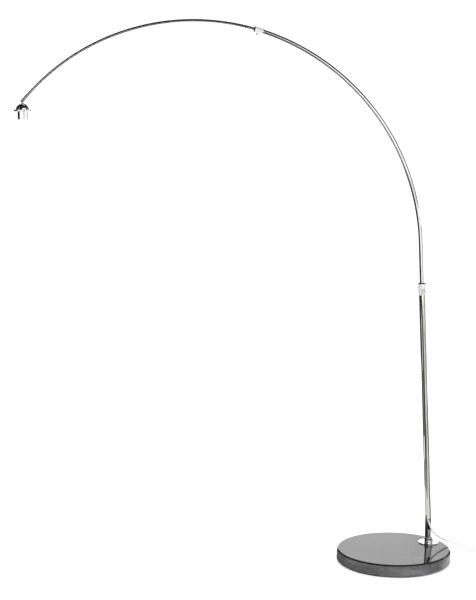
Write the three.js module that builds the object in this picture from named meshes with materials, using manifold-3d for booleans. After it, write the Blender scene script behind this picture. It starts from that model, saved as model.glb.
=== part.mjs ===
// Arc floor lamp: a round stone base, a straight mast, and a two-piece arc arm that telescopes,
// with a plumb lampholder at its tip. Millimetres, +Z up. The origin is the centre of the felt's
// underside, the arm reaches towards -X, and the supply cord leaves the mast's foot towards +X.
import * as THREE from 'three'
import { mergeVertices } from 'three/addons/utils/BufferGeometryUtils.js'
import Module from 'manifold-3d'

const wasm = await Module()
wasm.setup()

// ---- driving dimensions ----

const gap = 0.3                // clearance between pieces that touch

// base
const baseRadius = 200
const marbleThickness = 43.8
const marbleEdge = 5         // chamfer on the top and bottom edges
const feltThickness = 2
const feltInset = 8            // the felt stops this far inside the rim

// where the mast stands, and how far it leans towards the arm
const mastX = 124.7
const mastY = 84
const mastLean = 2.38          // degrees

// mast and its socket
const mastRadius = 12.5
const mastWall = 1.5
const mastLength = 918
const socketRadius = mastRadius + 2.5
const socketHeight = 19.5      // above the stone
const socketDepth = 20         // below the stone's top
const socketFloor = 8
const flangeRadius = 37.5
const flangeThickness = 3
const flangeScrewOffset = 23
const flangeScrewRadius = 2
const flangeScrewLength = 16
const flangeScrewHead = 4
const recessRadius = 28        // for the bolt head under the base
const recessDepth = 12
const boltRadius = 4
const boltHeadWidth = 13
const boltHeadHeight = 5.3
const washerRadius = 15
const washerThickness = 2
const setScrewRadius = 2.3
const setScrewHeight = 12

// cord slot near the foot of the mast
const slotWidth = 11.5
const slotBottom = 49.5        // above the stone's top
const slotTop = 90
const exitHeight = 77.3        // where the cord leaves the slot
const frontTurn = 15           // degrees the slot and the lower knob face right of the front

// lower collar, its bush and its knob
const lowerCollarRadius = mastRadius + 2.1
const lowerCollarLength = 42
const lowerCollarBelow = 24    // how far the collar reaches down over the mast
const collarLip = 4
const collarBevel = 3.6
const bushLength = 52
const knobRadius = 8
const knobThickness = 9
const knobScrewRadius = 3
const knobDrop = 12            // knob's centre below the top of the mast

// arm
const shankRadius = 8
const shankWall = 0.9
const shankTop = 1075          // where the straight shank turns into the arc
const shankBottom = 600
const armRadius = 805.2        // radius of the arc's centre line
const chordError = 0.276       // how far a bent tube's straight facets may stray from the arc
const middleArcEnd = 70.2      // degrees along the arc
const upperRadius = 5.5
const upperWall = 1
const upperArcStart = 52
const tipAngle = 134.5         // where the straight tip sleeve starts
const reachIn = 16             // degrees that the upper arc can slide in

// upper collar, its bush and its screw
const upperCollarRadius = shankRadius + 2.3
const upperCollarLength = 34
const upperCollarAhead = 23    // how far it reaches beyond the middle tube's end
const thumbScrewRadius = 2
const thumbHeadRadius = 3.5
const thumbHeadLength = 6.5

// tip sleeve and knuckle
const sleeveRadius = upperRadius + 0.8
const pinAlong = 31            // from the sleeve's mouth to the knuckle's pin
const forkSlot = 5
const forkFloor = 24.5
const tubeInSleeve = 10
const pinRadius = 1.5
const tongueThickness = 4.4
const tongueWidth = 8.4
const nippleRadius = 5
const nippleTop = 7.2          // below the pin
const nippleBottom = 21

// lampholder, measured down from the knuckle's pin
const capTop = 9.2
const capBottom = 30.2
const shellWall = 1.2
const ringThickness = 5.8
const holderRadius = 18
const capRadius = holderRadius + 6
const ringRadius = holderRadius + 13
const holderTop = 21.5
const holderBottom = 65.2
const insertTop = 26
const insertFloor = 6
const insertBottom = 52
const shellRadius = 13.6       // inside of the lamp thread
const shellThickness = 0.5
const shellBottom = 58

// cord, switch and plug
const cordRadius = 3
const coilRadius = 33          // middle of the turns
const coilColumns = 3
const coilLayers = 3
const coilLift = 1.4           // the ties hold the coil this far off the floor
const coilX = 470
const coilY = 81.5
const tieWidth = 5
const tieThickness = 1
const switchX = 379
const switchY = 120
const switchLength = 74
const switchWidth = 38
const switchFloor = 4
const switchHeight = 17
const switchWall = 2
const buttonRadius = 12
const buttonProud = 4.5
const buttonTravel = 3
const plugLength = 36
const plugWidth = 26
const plugThickness = 13.6
const plugRelief = 24
const pinSpacing = 18.6
const plugPinRadius = 2
const plugPinLength = 19

// ---- helpers ----

const rad = THREE.MathUtils.degToRad

// Keeps only the positions, welds them, drops slivers and turns the faces outwards.
function closed(geometry) {
  const bare = new THREE.BufferGeometry()
  bare.setAttribute('position', geometry.getAttribute('position').clone())
  if (geometry.index) bare.setIndex(geometry.index.clone())
  const welded = mergeVertices(bare, 1e-4)
  const spots = welded.getAttribute('position')
  const [p, q, r] = [new THREE.Vector3(), new THREE.Vector3(), new THREE.Vector3()]
  const faces = []
  let volume = 0
  for (let i = 0; i < welded.index.count; i += 3) {
    const [a, b, c] = [0, 1, 2].map((k) => welded.index.getX(i + k))
    if (a === b || b === c || c === a) continue
    faces.push(a, b, c)
    p.fromBufferAttribute(spots, a)
    volume += p.dot(q.fromBufferAttribute(spots, b).cross(r.fromBufferAttribute(spots, c)))
  }
  welded.setIndex(volume < 0 ? faces.reverse() : faces)
  return welded
}

function toSolid(geometry) {
  const shape = closed(geometry)
  const vertProperties = new Float32Array(shape.getAttribute('position').array)
  const triVerts = new Uint32Array(shape.index.array)
  return new wasm.Manifold(new wasm.Mesh({ numProp: 3, vertProperties, triVerts }))
}

function toGeometry(solid) {
  const mesh = solid.getMesh()
  const geometry = new THREE.BufferGeometry()
  geometry.setAttribute('position', new THREE.BufferAttribute(mesh.vertProperties, 3))
  geometry.setIndex(new THREE.BufferAttribute(mesh.triVerts, 1))
  return geometry
}

const cut = (body, ...tools) =>
  toGeometry(tools.reduce((left, tool) => left.subtract(toSolid(tool)), toSolid(body)))
const join = (body, ...others) =>
  toGeometry(others.reduce((whole, other) => whole.add(toSolid(other)), toSolid(body)))
const common = (a, b) => toGeometry(toSolid(a).intersect(toSolid(b)))

// A closed outline of [radius, height] pairs, turned about Z.
function turned(outline, sides = 24) {
  const points = [...outline, outline[0]].map(([r, z]) => new THREE.Vector2(r, z))
  return closed(new THREE.LatheGeometry(points, sides).rotateX(Math.PI / 2))
}

const rod = (radius, low, high, sides = 24) =>
  turned([[0, low], [radius, low], [radius, high], [0, high]], sides)
const pipe = (outer, inner, low, high, sides = 24) =>
  turned([[inner, low], [outer, low], [outer, high], [inner, high]], sides)
const hexagon = (width, low, high) => rod(width / Math.sqrt(3), low, high, 6)

function block(x, y, z) {
  const size = [x, y, z].map(([low, high]) => high - low)
  const middle = [x, y, z].map(([low, high]) => (high + low) / 2)
  return new THREE.BoxGeometry(...size).translate(...middle)
}

// Turns a piece made along Z so that it lies along +X, -Y or +Y.
const alongX = (geometry) => geometry.rotateY(Math.PI / 2)
const alongFront = (geometry) => geometry.rotateX(Math.PI / 2)
const alongBack = (geometry) => geometry.rotateX(-Math.PI / 2)

function circlePoints(radius, sides) {
  const step = (2 * Math.PI) / sides
  return Array.from({ length: sides }, (_, i) =>
    new THREE.Vector2(radius * Math.cos(i * step), radius * Math.sin(i * step)))
}

// A round section swept along a curve; an inner radius makes it a tube.
function swept(curve, outer, inner, steps, sides) {
  const section = new THREE.Shape(circlePoints(outer, sides))
  if (inner > 0) section.holes.push(new THREE.Path(circlePoints(inner, sides).reverse()))
  return closed(new THREE.ExtrudeGeometry(section, { steps, bevelEnabled: false, extrudePath: curve }))
}

// A stadium outline, longer along X.
function stadium(length, width) {
  const half = length / 2 - width / 2
  const outline = new THREE.Shape()
  outline.absarc(half, 0, width / 2, -Math.PI / 2, Math.PI / 2)
  outline.absarc(-half, 0, width / 2, Math.PI / 2, (3 * Math.PI) / 2)
  return outline
}

const extruded = (outline, low, high, curveSegments = 8) =>
  new THREE.ExtrudeGeometry(outline, { depth: high - low, bevelEnabled: false, curveSegments })
    .translate(0, 0, low)

const finishes = {
  marble: [0x26272a, 0.12, 0],
  felt: [0x1c1c1c, 0.95, 0],
  chrome: [0xd8d9db, 0.06, 1],
  blackChrome: [0x3a3b3d, 0.12, 1],
  steel: [0xa9abad, 0.35, 1],
  brass: [0xc9a24a, 0.3, 1],
  nylon: [0xe6e3da, 0.5, 0],
  ceramic: [0xf1efe9, 0.35, 0],
  cord: [0xe9e8e4, 0.45, 0],
  plastic: [0xefeeea, 0.35, 0],
  liveWire: [0x6b3a1e, 0.5, 0],
  neutralWire: [0x2f5fa8, 0.5, 0],
}

function piece(parent, name, finish, geometry) {
  const [color, roughness, metalness] = finishes[finish]
  const mesh = new THREE.Mesh(geometry, new THREE.MeshStandardMaterial({ color, roughness, metalness }))
  mesh.name = name
  parent.add(mesh)
  return mesh
}

const lamp = new THREE.Group()
lamp.name = 'arc_floor_lamp'

// ---- base ----

const baseTop = feltThickness + marbleThickness
const land = feltThickness + recessDepth          // underside of the stone above the recess
const socketBottom = baseTop - socketDepth

piece(lamp, 'base_felt', 'felt', rod(baseRadius - feltInset, 0, feltThickness - gap, 48))

const stone = turned([
  [0, feltThickness],
  [baseRadius - marbleEdge, feltThickness],
  [baseRadius, feltThickness + marbleEdge],
  [baseRadius, baseTop - marbleEdge],
  [baseRadius - marbleEdge, baseTop],
  [0, baseTop],
], 64)
const flangeScrewSpots = { left: mastX - flangeScrewOffset, right: mastX + flangeScrewOffset }
const flangeBottom = baseTop + gap
const flangeTop = flangeBottom + flangeThickness
const flangeScrewTip = flangeTop - flangeScrewLength
const screwPockets = Object.values(flangeScrewSpots).map((x) =>
  rod(flangeScrewRadius + gap, flangeScrewTip - 1, baseTop + 1, 12).translate(x, mastY, 0))
piece(lamp, 'marble_base', 'marble', cut(
  stone,
  rod(socketRadius + gap, socketBottom - gap, baseTop + 1).translate(mastX, mastY, 0),
  rod(boltRadius + 2 * gap, feltThickness, baseTop).translate(mastX, mastY, 0),
  rod(recessRadius, feltThickness - 1, land).translate(mastX, mastY, 0),
  ...screwPockets,
))

const flangeHeadLow = flangeTop - flangeScrewHead + flangeScrewRadius
const countersink = turned([
  [0, flangeHeadLow],
  [flangeScrewRadius + gap, flangeHeadLow],
  [flangeScrewHead + gap, flangeTop],
  [flangeScrewHead + gap, flangeTop + 1],
  [0, flangeTop + 1],
], 12)
const flange = turned([
  [socketRadius + gap, flangeBottom],
  [flangeRadius, flangeBottom],
  [flangeRadius, flangeBottom + 1],
  [flangeRadius - 1.6, flangeTop],
  [socketRadius + gap, flangeTop],
], 40).translate(mastX, mastY, 0)
piece(lamp, 'base_flange', 'chrome', cut(
  flange,
  ...Object.values(flangeScrewSpots).flatMap((x) => [
    rod(flangeScrewRadius + gap, 0, flangeTop + 1, 12).translate(x, mastY, 0),
    countersink.clone().translate(x, mastY, 0),
  ]),
))
for (const [side, x] of Object.entries(flangeScrewSpots)) {
  const screw = turned([
    [0, flangeScrewTip],
    [flangeScrewRadius, flangeScrewTip + 2],
    [flangeScrewRadius, flangeHeadLow],
    [flangeScrewHead, flangeTop],
    [flangeScrewHead * 0.6, flangeTop + 0.8],
    [0, flangeTop + 0.8],
  ], 12)
  const driverSlot = block(
    [-flangeScrewHead, flangeScrewHead], [-0.4, 0.4], [flangeTop - 0.4, flangeTop + 2])
  piece(lamp, `flange_screw_${side}`, 'steel', cut(screw, driverSlot).translate(x, mastY, 0))
}

// Everything coaxial with the mast is made in this group: its Z runs up the leaning mast.
const mast = new THREE.Group()
mast.position.set(mastX, mastY, baseTop)
mast.rotation.y = -rad(mastLean)
lamp.add(mast)
mast.updateMatrixWorld()
const leaning = (geometry) => geometry.applyMatrix4(mast.matrixWorld)
const facing = rad(frontTurn)

const socketBore = leaning(rod(mastRadius + gap, socketFloor - socketDepth, socketHeight + 5))
const setScrewHole = alongX(rod(setScrewRadius + gap, 0, 2 * socketRadius, 12))
  .rotateZ(-rad(30)).translate(mastX, mastY, baseTop + setScrewHeight)
piece(lamp, 'mast_socket', 'chrome', cut(
  turned([
    [0, 0],
    [socketRadius, 0],
    [socketRadius, socketDepth + socketHeight - 1],
    [socketRadius - 1, socketDepth + socketHeight],
    [0, socketDepth + socketHeight],
  ]).translate(mastX, mastY, socketBottom),
  socketBore,
  setScrewHole,
  rod(boltRadius + gap, 0, baseTop).translate(mastX, mastY, 0),
))
const socketLean = setScrewHeight * Math.tan(rad(mastLean))
piece(lamp, 'socket_set_screw', 'blackChrome', cut(
  alongX(rod(setScrewRadius, mastRadius + gap + socketLean, socketRadius + 1.4, 12)),
  alongX(hexagon(2.2, socketRadius - 0.4, socketRadius + 3)),
).rotateZ(-rad(30)).translate(mastX, mastY, baseTop + setScrewHeight))

const washerTop = land - gap
const boltHeadTop = washerTop - washerThickness - gap
piece(lamp, 'base_washer', 'steel',
  pipe(washerRadius, boltRadius + gap, washerTop - washerThickness, washerTop).translate(mastX, mastY, 0))
piece(lamp, 'base_bolt', 'steel', join(
  hexagon(boltHeadWidth, boltHeadTop - boltHeadHeight, boltHeadTop),
  rod(boltRadius, boltHeadTop - 1, socketBottom + socketFloor - 1.2, 16),
).translate(mastX, mastY, 0))

// ---- mast and lower collar ----

const mastBottom = socketFloor - socketDepth + gap
const mastTop = mastLength
const mastBore = mastRadius - mastWall
const knobAt = mastTop - knobDrop
const radial = (geometry, height) => alongFront(geometry).rotateZ(facing).translate(0, 0, height)

const slotMiddle = (slotTop + slotBottom) / 2
const slotCutter = extruded(stadium(slotTop - slotBottom, slotWidth), 0, 2 * mastRadius)
  .rotateZ(Math.PI / 2)
piece(mast, 'mast_tube', 'chrome', cut(
  pipe(mastRadius, mastBore, mastBottom, mastTop, 28),
  radial(slotCutter, slotMiddle),
  radial(rod(knobScrewRadius + gap, 0, 2 * mastRadius, 12), knobAt),
))

const collarLow = mastTop - lowerCollarBelow
const collarHigh = collarLow + lowerCollarLength
piece(mast, 'lower_collar', 'chrome', cut(
  turned([
    [mastRadius + gap, collarLow],
    [lowerCollarRadius - 0.6, collarLow],
    [lowerCollarRadius, collarLow + 0.6],
    [lowerCollarRadius, collarHigh - collarBevel],
    [lowerCollarRadius - collarBevel, collarHigh],
    [shankRadius + 0.8, collarHigh],
    [shankRadius + 0.8, collarHigh - collarLip],
    [mastBore + gap, collarHigh - collarLip],
    [mastBore + gap, mastTop + gap],
    [mastRadius + gap, mastTop + gap],
  ], 32),
  radial(rod(knobScrewRadius + gap, 0, 2 * lowerCollarRadius, 12), knobAt),
))

const bushHigh = collarHigh - collarLip - gap
const bushOuter = mastBore - gap
piece(mast, 'lower_bush', 'nylon', pipe(bushOuter, shankRadius + gap, bushHigh - bushLength, bushHigh))

const knobFace = lowerCollarRadius + 1.4
piece(mast, 'lower_lock_knob', 'chrome', radial(turned([
  [0, bushOuter + gap],
  [knobScrewRadius, bushOuter + gap],
  [knobScrewRadius, knobFace],
  [knobRadius - 0.8, knobFace],
  [knobRadius, knobFace + 0.8],
  [knobRadius, knobFace + knobThickness - 1.2],
  [knobRadius - 1.2, knobFace + knobThickness],
  [0, knobFace + knobThickness],
], 20), knobAt))

// ---- arm ----

// The arc turns over from the top of the shank, in the plane of the mast.
class ArmArc extends THREE.Curve {
  constructor(from, to) {
    super()
    this.from = rad(from)
    this.to = rad(to)
  }

  getPoint(t, target = new THREE.Vector3()) {
    const angle = this.from + (this.to - this.from) * t
    return target.set(armRadius * (Math.cos(angle) - 1), 0, shankTop + armRadius * Math.sin(angle))
  }
}

// A group whose Z runs along the arc at one place on it.
function onArc(degrees) {
  const frame = new THREE.Group()
  frame.position.copy(new ArmArc(0, degrees).getPoint(1))
  frame.rotation.y = -rad(degrees)
  mast.add(frame)
  return frame
}

const degreesPer = (length) => THREE.MathUtils.radToDeg(length / armRadius)
const shankBore = shankRadius - shankWall
const upperBore = upperRadius - upperWall
const stepDegrees = 2 * THREE.MathUtils.radToDeg(Math.acos(1 - chordError / armRadius))

const middlePath = new THREE.CurvePath()
middlePath.add(new THREE.LineCurve3(new THREE.Vector3(0, 0, shankBottom), new THREE.Vector3(0, 0, shankTop)))
middlePath.add(new ArmArc(0, middleArcEnd))
const middleSteps = Math.round(middlePath.getLength() / (armRadius * rad(stepDegrees)))
piece(mast, 'middle_arc_tube', 'chrome', swept(middlePath, shankRadius, shankBore, middleSteps, 16))

const guideLength = 20
piece(mast, 'shank_guide', 'nylon',
  pipe(mastBore - gap, shankRadius + gap, shankBottom + 2, shankBottom + 2 + guideLength))

const middleEnd = onArc(middleArcEnd)
const collarStart = upperCollarAhead - upperCollarLength
const upperBushOuter = shankBore - 0.4
const upperBushInner = upperRadius + 0.55
const upperBushHigh = upperCollarAhead - 4 - gap
const upperBushLow = -8
const thumbAt = 8
piece(middleEnd, 'upper_collar', 'chrome', cut(
  turned([
    [shankRadius + gap, collarStart],
    [upperCollarRadius, collarStart],
    [upperCollarRadius, upperCollarAhead - 1.5],
    [upperCollarRadius - 1.5, upperCollarAhead],
    [upperRadius + 1, upperCollarAhead],
    [upperRadius + 1, upperCollarAhead - 4],
    [shankBore - 0.1, upperCollarAhead - 4],
    [shankBore - 0.1, gap],
    [shankRadius + gap, gap],
  ], 28),
  alongX(rod(thumbScrewRadius + gap, 0, 20, 12)).rotateZ(Math.PI).translate(0, 0, thumbAt),
))
piece(middleEnd, 'upper_bush', 'nylon', pipe(upperBushOuter, upperBushInner, upperBushLow, upperBushHigh))
piece(middleEnd, 'upper_lock_screw', 'chrome', alongX(turned([
  [0, upperBushOuter + gap],
  [thumbScrewRadius, upperBushOuter + gap],
  [thumbScrewRadius, upperCollarRadius + gap],
  [thumbHeadRadius, upperCollarRadius + gap],
  [thumbHeadRadius, upperCollarRadius + thumbHeadLength],
  [0, upperCollarRadius + thumbHeadLength],
], 14)).rotateZ(Math.PI).translate(0, 0, thumbAt))

const tubeEnd = tipAngle + degreesPer(tubeInSleeve)
const upperSteps = Math.round((tubeEnd - upperArcStart) / stepDegrees)
piece(mast, 'upper_arc_tube', 'blackChrome',
  swept(new ArmArc(upperArcStart, tubeEnd), upperRadius, upperBore, upperSteps, 14))
piece(onArc(upperArcStart + 1), 'upper_guide', 'nylon',
  pipe(shankBore - 0.7, upperRadius + gap, -6, 6))

// ---- tip sleeve and knuckle ----

const tip = onArc(tipAngle)
const sleeveEnd = pinAlong + sleeveRadius
const roundedEnd = join(
  block([-sleeveRadius, sleeveRadius], [-sleeveRadius, sleeveRadius], [0, pinAlong]),
  alongBack(rod(sleeveRadius, -sleeveRadius, sleeveRadius)).translate(0, 0, pinAlong),
)
piece(tip, 'tip_sleeve', 'blackChrome', cut(
  common(rod(sleeveRadius, 0, sleeveEnd + 1, 24), roundedEnd),
  rod(upperRadius + gap, -1, tubeInSleeve + 2),
  rod(cordRadius + gap, 0, forkFloor + 1, 16),
  block([-10, 10], [-forkSlot / 2, forkSlot / 2], [forkFloor, sleeveEnd + 2]),
  alongBack(rod(pinRadius + gap, -10, 10, 16)).translate(0, 0, pinAlong),
))
const cheek = sleeveRadius + gap
const nutWidth = 5
piece(tip, 'knuckle_screw', 'steel', alongFront(turned([
  [0, -cheek - 2.2],
  [pinRadius, -cheek - 2.2],
  [pinRadius, cheek],
  [2.9, cheek],
  [2.9, cheek + 1.4],
  [2, cheek + 2],
  [0, cheek + 2],
], 14)).translate(0, 0, pinAlong))
piece(tip, 'knuckle_nut', 'steel', alongBack(cut(
  hexagon(nutWidth, cheek, cheek + 1.8),
  rod(pinRadius + gap, 0, cheek + 4, 16),
)).translate(0, 0, pinAlong))

// ---- head: hangs plumb from the knuckle's pin ----

tip.updateWorldMatrix(true, false)
const pinSpot = tip.localToWorld(new THREE.Vector3(0, 0, pinAlong))
const head = new THREE.Group()
head.position.copy(pinSpot)
lamp.add(head)

const tongue = join(
  alongBack(rod(tongueWidth / 2, -tongueThickness / 2, tongueThickness / 2)),
  block([-tongueWidth / 2, tongueWidth / 2],
    [-tongueThickness / 2, tongueThickness / 2], [-nippleTop - 1, 0]),
  rod(nippleRadius, -nippleBottom, -nippleTop),
)
piece(head, 'swivel_eye', 'chrome', cut(
  tongue,
  alongBack(rod(pinRadius + gap, -10, 10, 16)),
  rod(2.4, -nippleBottom - 1, -nippleTop - 2.6, 12),
  alongX(rod(1.5, 0, 10, 10)).translate(0, 0, -nippleTop - 2.9),
))
const nutWidthOnNipple = 13
const nutTop = capTop + shellWall + 1.5
piece(head, 'nipple_nut', 'brass', cut(
  hexagon(nutWidthOnNipple, -nutTop - 3, -nutTop),
  rod(nippleRadius + gap, -30, 0),
))

// Dome: a quarter ellipse outside and the same shape one wall smaller inside.
function dome(radius, top, bottom, steps) {
  return Array.from({ length: steps + 1 }, (_, i) => {
    const angle = (Math.PI / 2) * (i / steps)
    return [radius * Math.cos(angle), -bottom + (bottom - top) * Math.sin(angle)]
  })
}
piece(head, 'lampholder_cap', 'blackChrome', cut(
  turned([[0, -capBottom], ...dome(capRadius, capTop, capBottom, 7)], 32),
  turned([[0, -capBottom - 1], [capRadius - shellWall, -capBottom - 1],
    ...dome(capRadius - shellWall, capTop + shellWall, capBottom, 7)], 32),
  rod(nippleRadius + gap, -capTop - 5, 0),
))

const ringTop = -capBottom - gap
const ringBore = holderRadius + gap
piece(head, 'shade_ring', 'blackChrome', turned([
  [ringBore, ringTop],
  [ringRadius - 0.8, ringTop],
  [ringRadius, ringTop - 0.8],
  [ringRadius, ringTop - ringThickness + 0.8],
  [ringRadius - 0.8, ringTop - ringThickness],
  [ringRadius - 2.4, ringTop - ringThickness],
  [ringRadius - 2.8, ringTop - 2.4],
  [ringBore + 3, ringTop - 2.4],
  [ringBore + 3, ringTop - ringThickness],
  [ringBore, ringTop - ringThickness],
], 32))
piece(head, 'lampholder_sleeve', 'chrome',
  pipe(holderRadius, holderRadius - shellWall, -holderBottom, -holderTop, 28))

const insertRadius = holderRadius - shellWall - gap
const insertBore = shellRadius + shellThickness + gap
const terminalSide = 9
const terminalHole = (side) => rod(1.5 + gap, -insertTop - 4, -insertTop + 1, 10).translate(side, 0, 0)
piece(head, 'ceramic_insert', 'ceramic', cut(
  rod(insertRadius, -insertBottom, -insertTop, 24),
  rod(insertBore, -insertBottom - 1, -insertTop - insertFloor),
  terminalHole(terminalSide),
  terminalHole(-terminalSide),
))
const shellTop = -insertTop - insertFloor - gap
piece(head, 'screw_shell', 'brass',
  pipe(shellRadius + shellThickness, shellRadius, -shellBottom, shellTop, 24))
piece(head, 'centre_contact', 'brass', join(
  block([-3, 3], [-2, 2], [shellTop - 0.8, shellTop]),
  block([-3, -2.2], [-2, 2], [shellTop - 4, shellTop]),
  block([-3, 3], [-2, 2], [shellTop - 4.8, shellTop - 4]),
))
piece(head, 'side_contact', 'brass', join(
  block([8, 12.6], [-2, 2], [shellTop - 0.8, shellTop]),
  block([11.8, 12.6], [-2, 2], [shellTop - 6, shellTop]),
))
const terminals = { live: -terminalSide, neutral: terminalSide }
for (const [name, side] of Object.entries(terminals)) {
  piece(head, `terminal_screw_${name}`, 'brass', join(
    rod(1.5, -insertTop - 3.5, -insertTop + 0.5, 10),
    rod(2.6, -insertTop + gap, -insertTop + 2, 12),
  ).translate(side, 0, 0))
  const lead = new THREE.CatmullRomCurve3([
    new THREE.Vector3(side * 0.12, 0, -nippleBottom + 1),
    new THREE.Vector3(side * 0.2, 0, -nippleBottom - 1.4),
    new THREE.Vector3(side * 0.42, 0, -nippleBottom - 2.4),
    new THREE.Vector3(side - Math.sign(side) * 3.3, 0, -insertTop + 1.4),
  ])
  piece(head, `${name}_lead`, `${name}Wire`, swept(lead, 0.8, 0, 6, 8))
}

// ---- cable inside the tubes ----

// The cord comes out of the slot, and a tapered relief guards it there.
const exitFrom = mast.localToWorld(new THREE.Vector3(
  mastRadius * Math.sin(facing), -mastRadius * Math.cos(facing), exitHeight,
))
const exitAlong = new THREE.Vector3(0.342, -0.471, -0.813).normalize()
const reliefInside = 5
const reliefOutside = 18
const reliefRoot = 3.5
const alongExit = new THREE.Quaternion().setFromUnitVectors(new THREE.Vector3(0, 0, 1), exitAlong)
const relief = turned([
  [0, -reliefInside],
  [reliefRoot, -reliefInside],
  [reliefRoot, 0],
  [cordRadius + 0.15, reliefOutside],
  [0, reliefOutside],
], 16).applyQuaternion(alongExit).translate(...exitFrom)
piece(lamp, 'cord_strain_relief', 'cord', relief)

const fromExit = (distance) => exitFrom.clone().addScaledVector(exitAlong, distance)
const inMast = (x, y, z) => mast.localToWorld(new THREE.Vector3(x, y, z))
const cableSides = 8
const slackGap = 20            // free length left below a tube that slides down
const shankDrop = 120          // how far the shank can slide down
piece(lamp, 'mast_cable', 'cord', swept(new THREE.CatmullRomCurve3([
  fromExit(-reliefInside - gap),
  fromExit(-reliefInside - 3),
  inMast(0, -2, 106),
  inMast(0, 0, 130),
  inMast(0, 0, 300),
  inMast(0, 0, shankBottom - shankDrop - slackGap),
]), cordRadius, 0, 24, cableSides))

const middleCable = new THREE.CurvePath()
middleCable.add(new THREE.LineCurve3(
  new THREE.Vector3(0, 0, shankBottom + 1), new THREE.Vector3(0, 0, shankTop)))
middleCable.add(new ArmArc(0, upperArcStart - reachIn - 1.5))
piece(mast, 'middle_cable', 'cord', swept(middleCable, cordRadius, 0, 24, cableSides))
const sleeveCableEnd = tipAngle + degreesPer(forkFloor - 3)
piece(mast, 'upper_cable', 'cord',
  swept(new ArmArc(upperArcStart + 0.5, sleeveCableEnd), cordRadius, 0, upperSteps, cableSides))

// ---- cord on the floor, foot switch, coil and plug ----

const cordSides = 10
const coilWidth = coilColumns * 2 * cordRadius
const coilHeight = coilLayers * 2 * cordRadius
const coilOuter = coilRadius + coilWidth / 2
const coilInner = coilRadius - coilWidth / 2
const entryHeight = 8
const switchLeft = switchX - switchLength / 2
const switchRight = switchX + switchLength / 2
const inletDepth = 1.5

function cordTube(name, points, step = 13) {
  const route = new THREE.CatmullRomCurve3(points.map(([x, y, z]) => new THREE.Vector3(x, y, z)))
  const steps = Math.max(2, Math.round(route.getLength() / step))
  piece(lamp, name, 'cord', swept(route, cordRadius, 0, steps, cordSides))
}

cordTube('cord_to_switch', [
  fromExit(reliefOutside + gap).toArray(),
  fromExit(reliefOutside + 4).toArray(),
  [138.9, 59.8, 93.8],
  [147.4, 58.6, 85],
  [160.5, 60, 74.7],
  [178.1, 64.5, 64],
  [195.4, 70.5, 56.1],
  [221.8, 81, 44.9],
  [248.3, 91.5, 31.8],
  [274.9, 101.5, 17.6],
  [295.7, 109, 8.6],
  [310, 113.8, 4.6],
  [322, 117.2, 4],
  [332, 119.2, 5.2],
  [switchLeft - 1, switchY, entryHeight],
  [switchLeft + inletDepth, switchY, entryHeight],
])

const switchBody = new THREE.Group()
switchBody.position.set(switchX, switchY, 0)
lamp.add(switchBody)
const coverLow = switchFloor + gap
const cavityTop = switchHeight - switchWall
piece(switchBody, 'switch_base', 'plastic', extruded(stadium(switchLength, switchWidth), 0.2, switchFloor))
const coverShell = extruded(stadium(switchLength, switchWidth), coverLow, switchHeight - 3)
const coverTop = extruded(stadium(switchLength - 5, switchWidth - 5), switchHeight - 5, switchHeight)
piece(switchBody, 'switch_cover', 'plastic', cut(
  join(coverShell, coverTop),
  extruded(stadium(switchLength - 2 * switchWall - 5, switchWidth - 2 * switchWall - 5), 0, cavityTop),
  rod(buttonRadius + gap, 0, switchHeight + 5),
  alongX(rod(cordRadius + gap, -switchLength, switchLength, 16)).translate(0, 0, entryHeight),
))
const buttonTop = switchHeight + buttonProud
const contactTop = coverLow + 3.6
const buttonLow = contactTop + buttonTravel + gap
piece(switchBody, 'switch_button', 'plastic', turned([
  [0, buttonLow],
  [buttonRadius, buttonLow],
  [buttonRadius, buttonTop - 1.5],
  [buttonRadius - 1.5, buttonTop],
  [0, buttonTop],
]))
piece(switchBody, 'switch_contacts', 'nylon', block([-10, 10], [-7, 7], [coverLow, contactTop]))

const coilBottom = coilLift
const coilFirst = coilBottom + cordRadius
const coilLast = coilBottom + coilHeight - cordRadius
const entryY = coilY + coilOuter - cordRadius
const meetEntry = Math.sqrt(coilOuter ** 2 - (coilOuter - 2 * cordRadius) ** 2) + 1
cordTube('cord_to_coil', [
  [switchRight - inletDepth, switchY, entryHeight],
  [switchRight + 1, switchY, entryHeight],
  [switchRight + 11, switchY + 0.1, 5.2],
  [coilX - meetEntry - 9, entryY, coilFirst],
  [coilX - meetEntry, entryY, coilFirst],
])
const ring = pipe(coilOuter, coilInner, coilBottom, coilBottom + coilHeight, 40)
piece(lamp, 'cord_coil', 'cord', ring.translate(coilX, coilY, 0))

const tieInner = [coilInner - gap, coilOuter + gap]
const tieHeights = [coilBottom - gap, coilBottom + coilHeight + gap]
const grow = ([low, high], by) => [low - by, high + by]
const tieAcross = [-tieWidth / 2, tieWidth / 2]
for (const [number, turn] of [[1, 20], [2, 200]]) {
  const tie = cut(
    block(grow(tieInner, tieThickness), tieAcross, grow(tieHeights, tieThickness)),
    block(tieInner, grow(tieAcross, 1), tieHeights),
  )
  piece(lamp, `cord_tie_${number}`, 'plastic', tie.rotateZ(rad(turn)).translate(coilX, coilY, 0))
}

const tailY = coilY - coilRadius
const meetTail = Math.sqrt(coilOuter ** 2 - (coilRadius - cordRadius) ** 2) + 1
const tailX = coilX - meetTail
const plugHeight = plugThickness / 2 + 0.2
const plugBack = tailX - 45
cordTube('cord_to_plug', [
  [tailX, tailY, coilLast],
  [tailX - 9, tailY, coilLast - 1],
  [tailX - 21, tailY, coilLast - 4.6],
  [tailX - 33, tailY, plugHeight + 1],
  [plugBack + 5, tailY, plugHeight],
  [plugBack + gap, tailY, plugHeight],
], 9)

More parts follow.
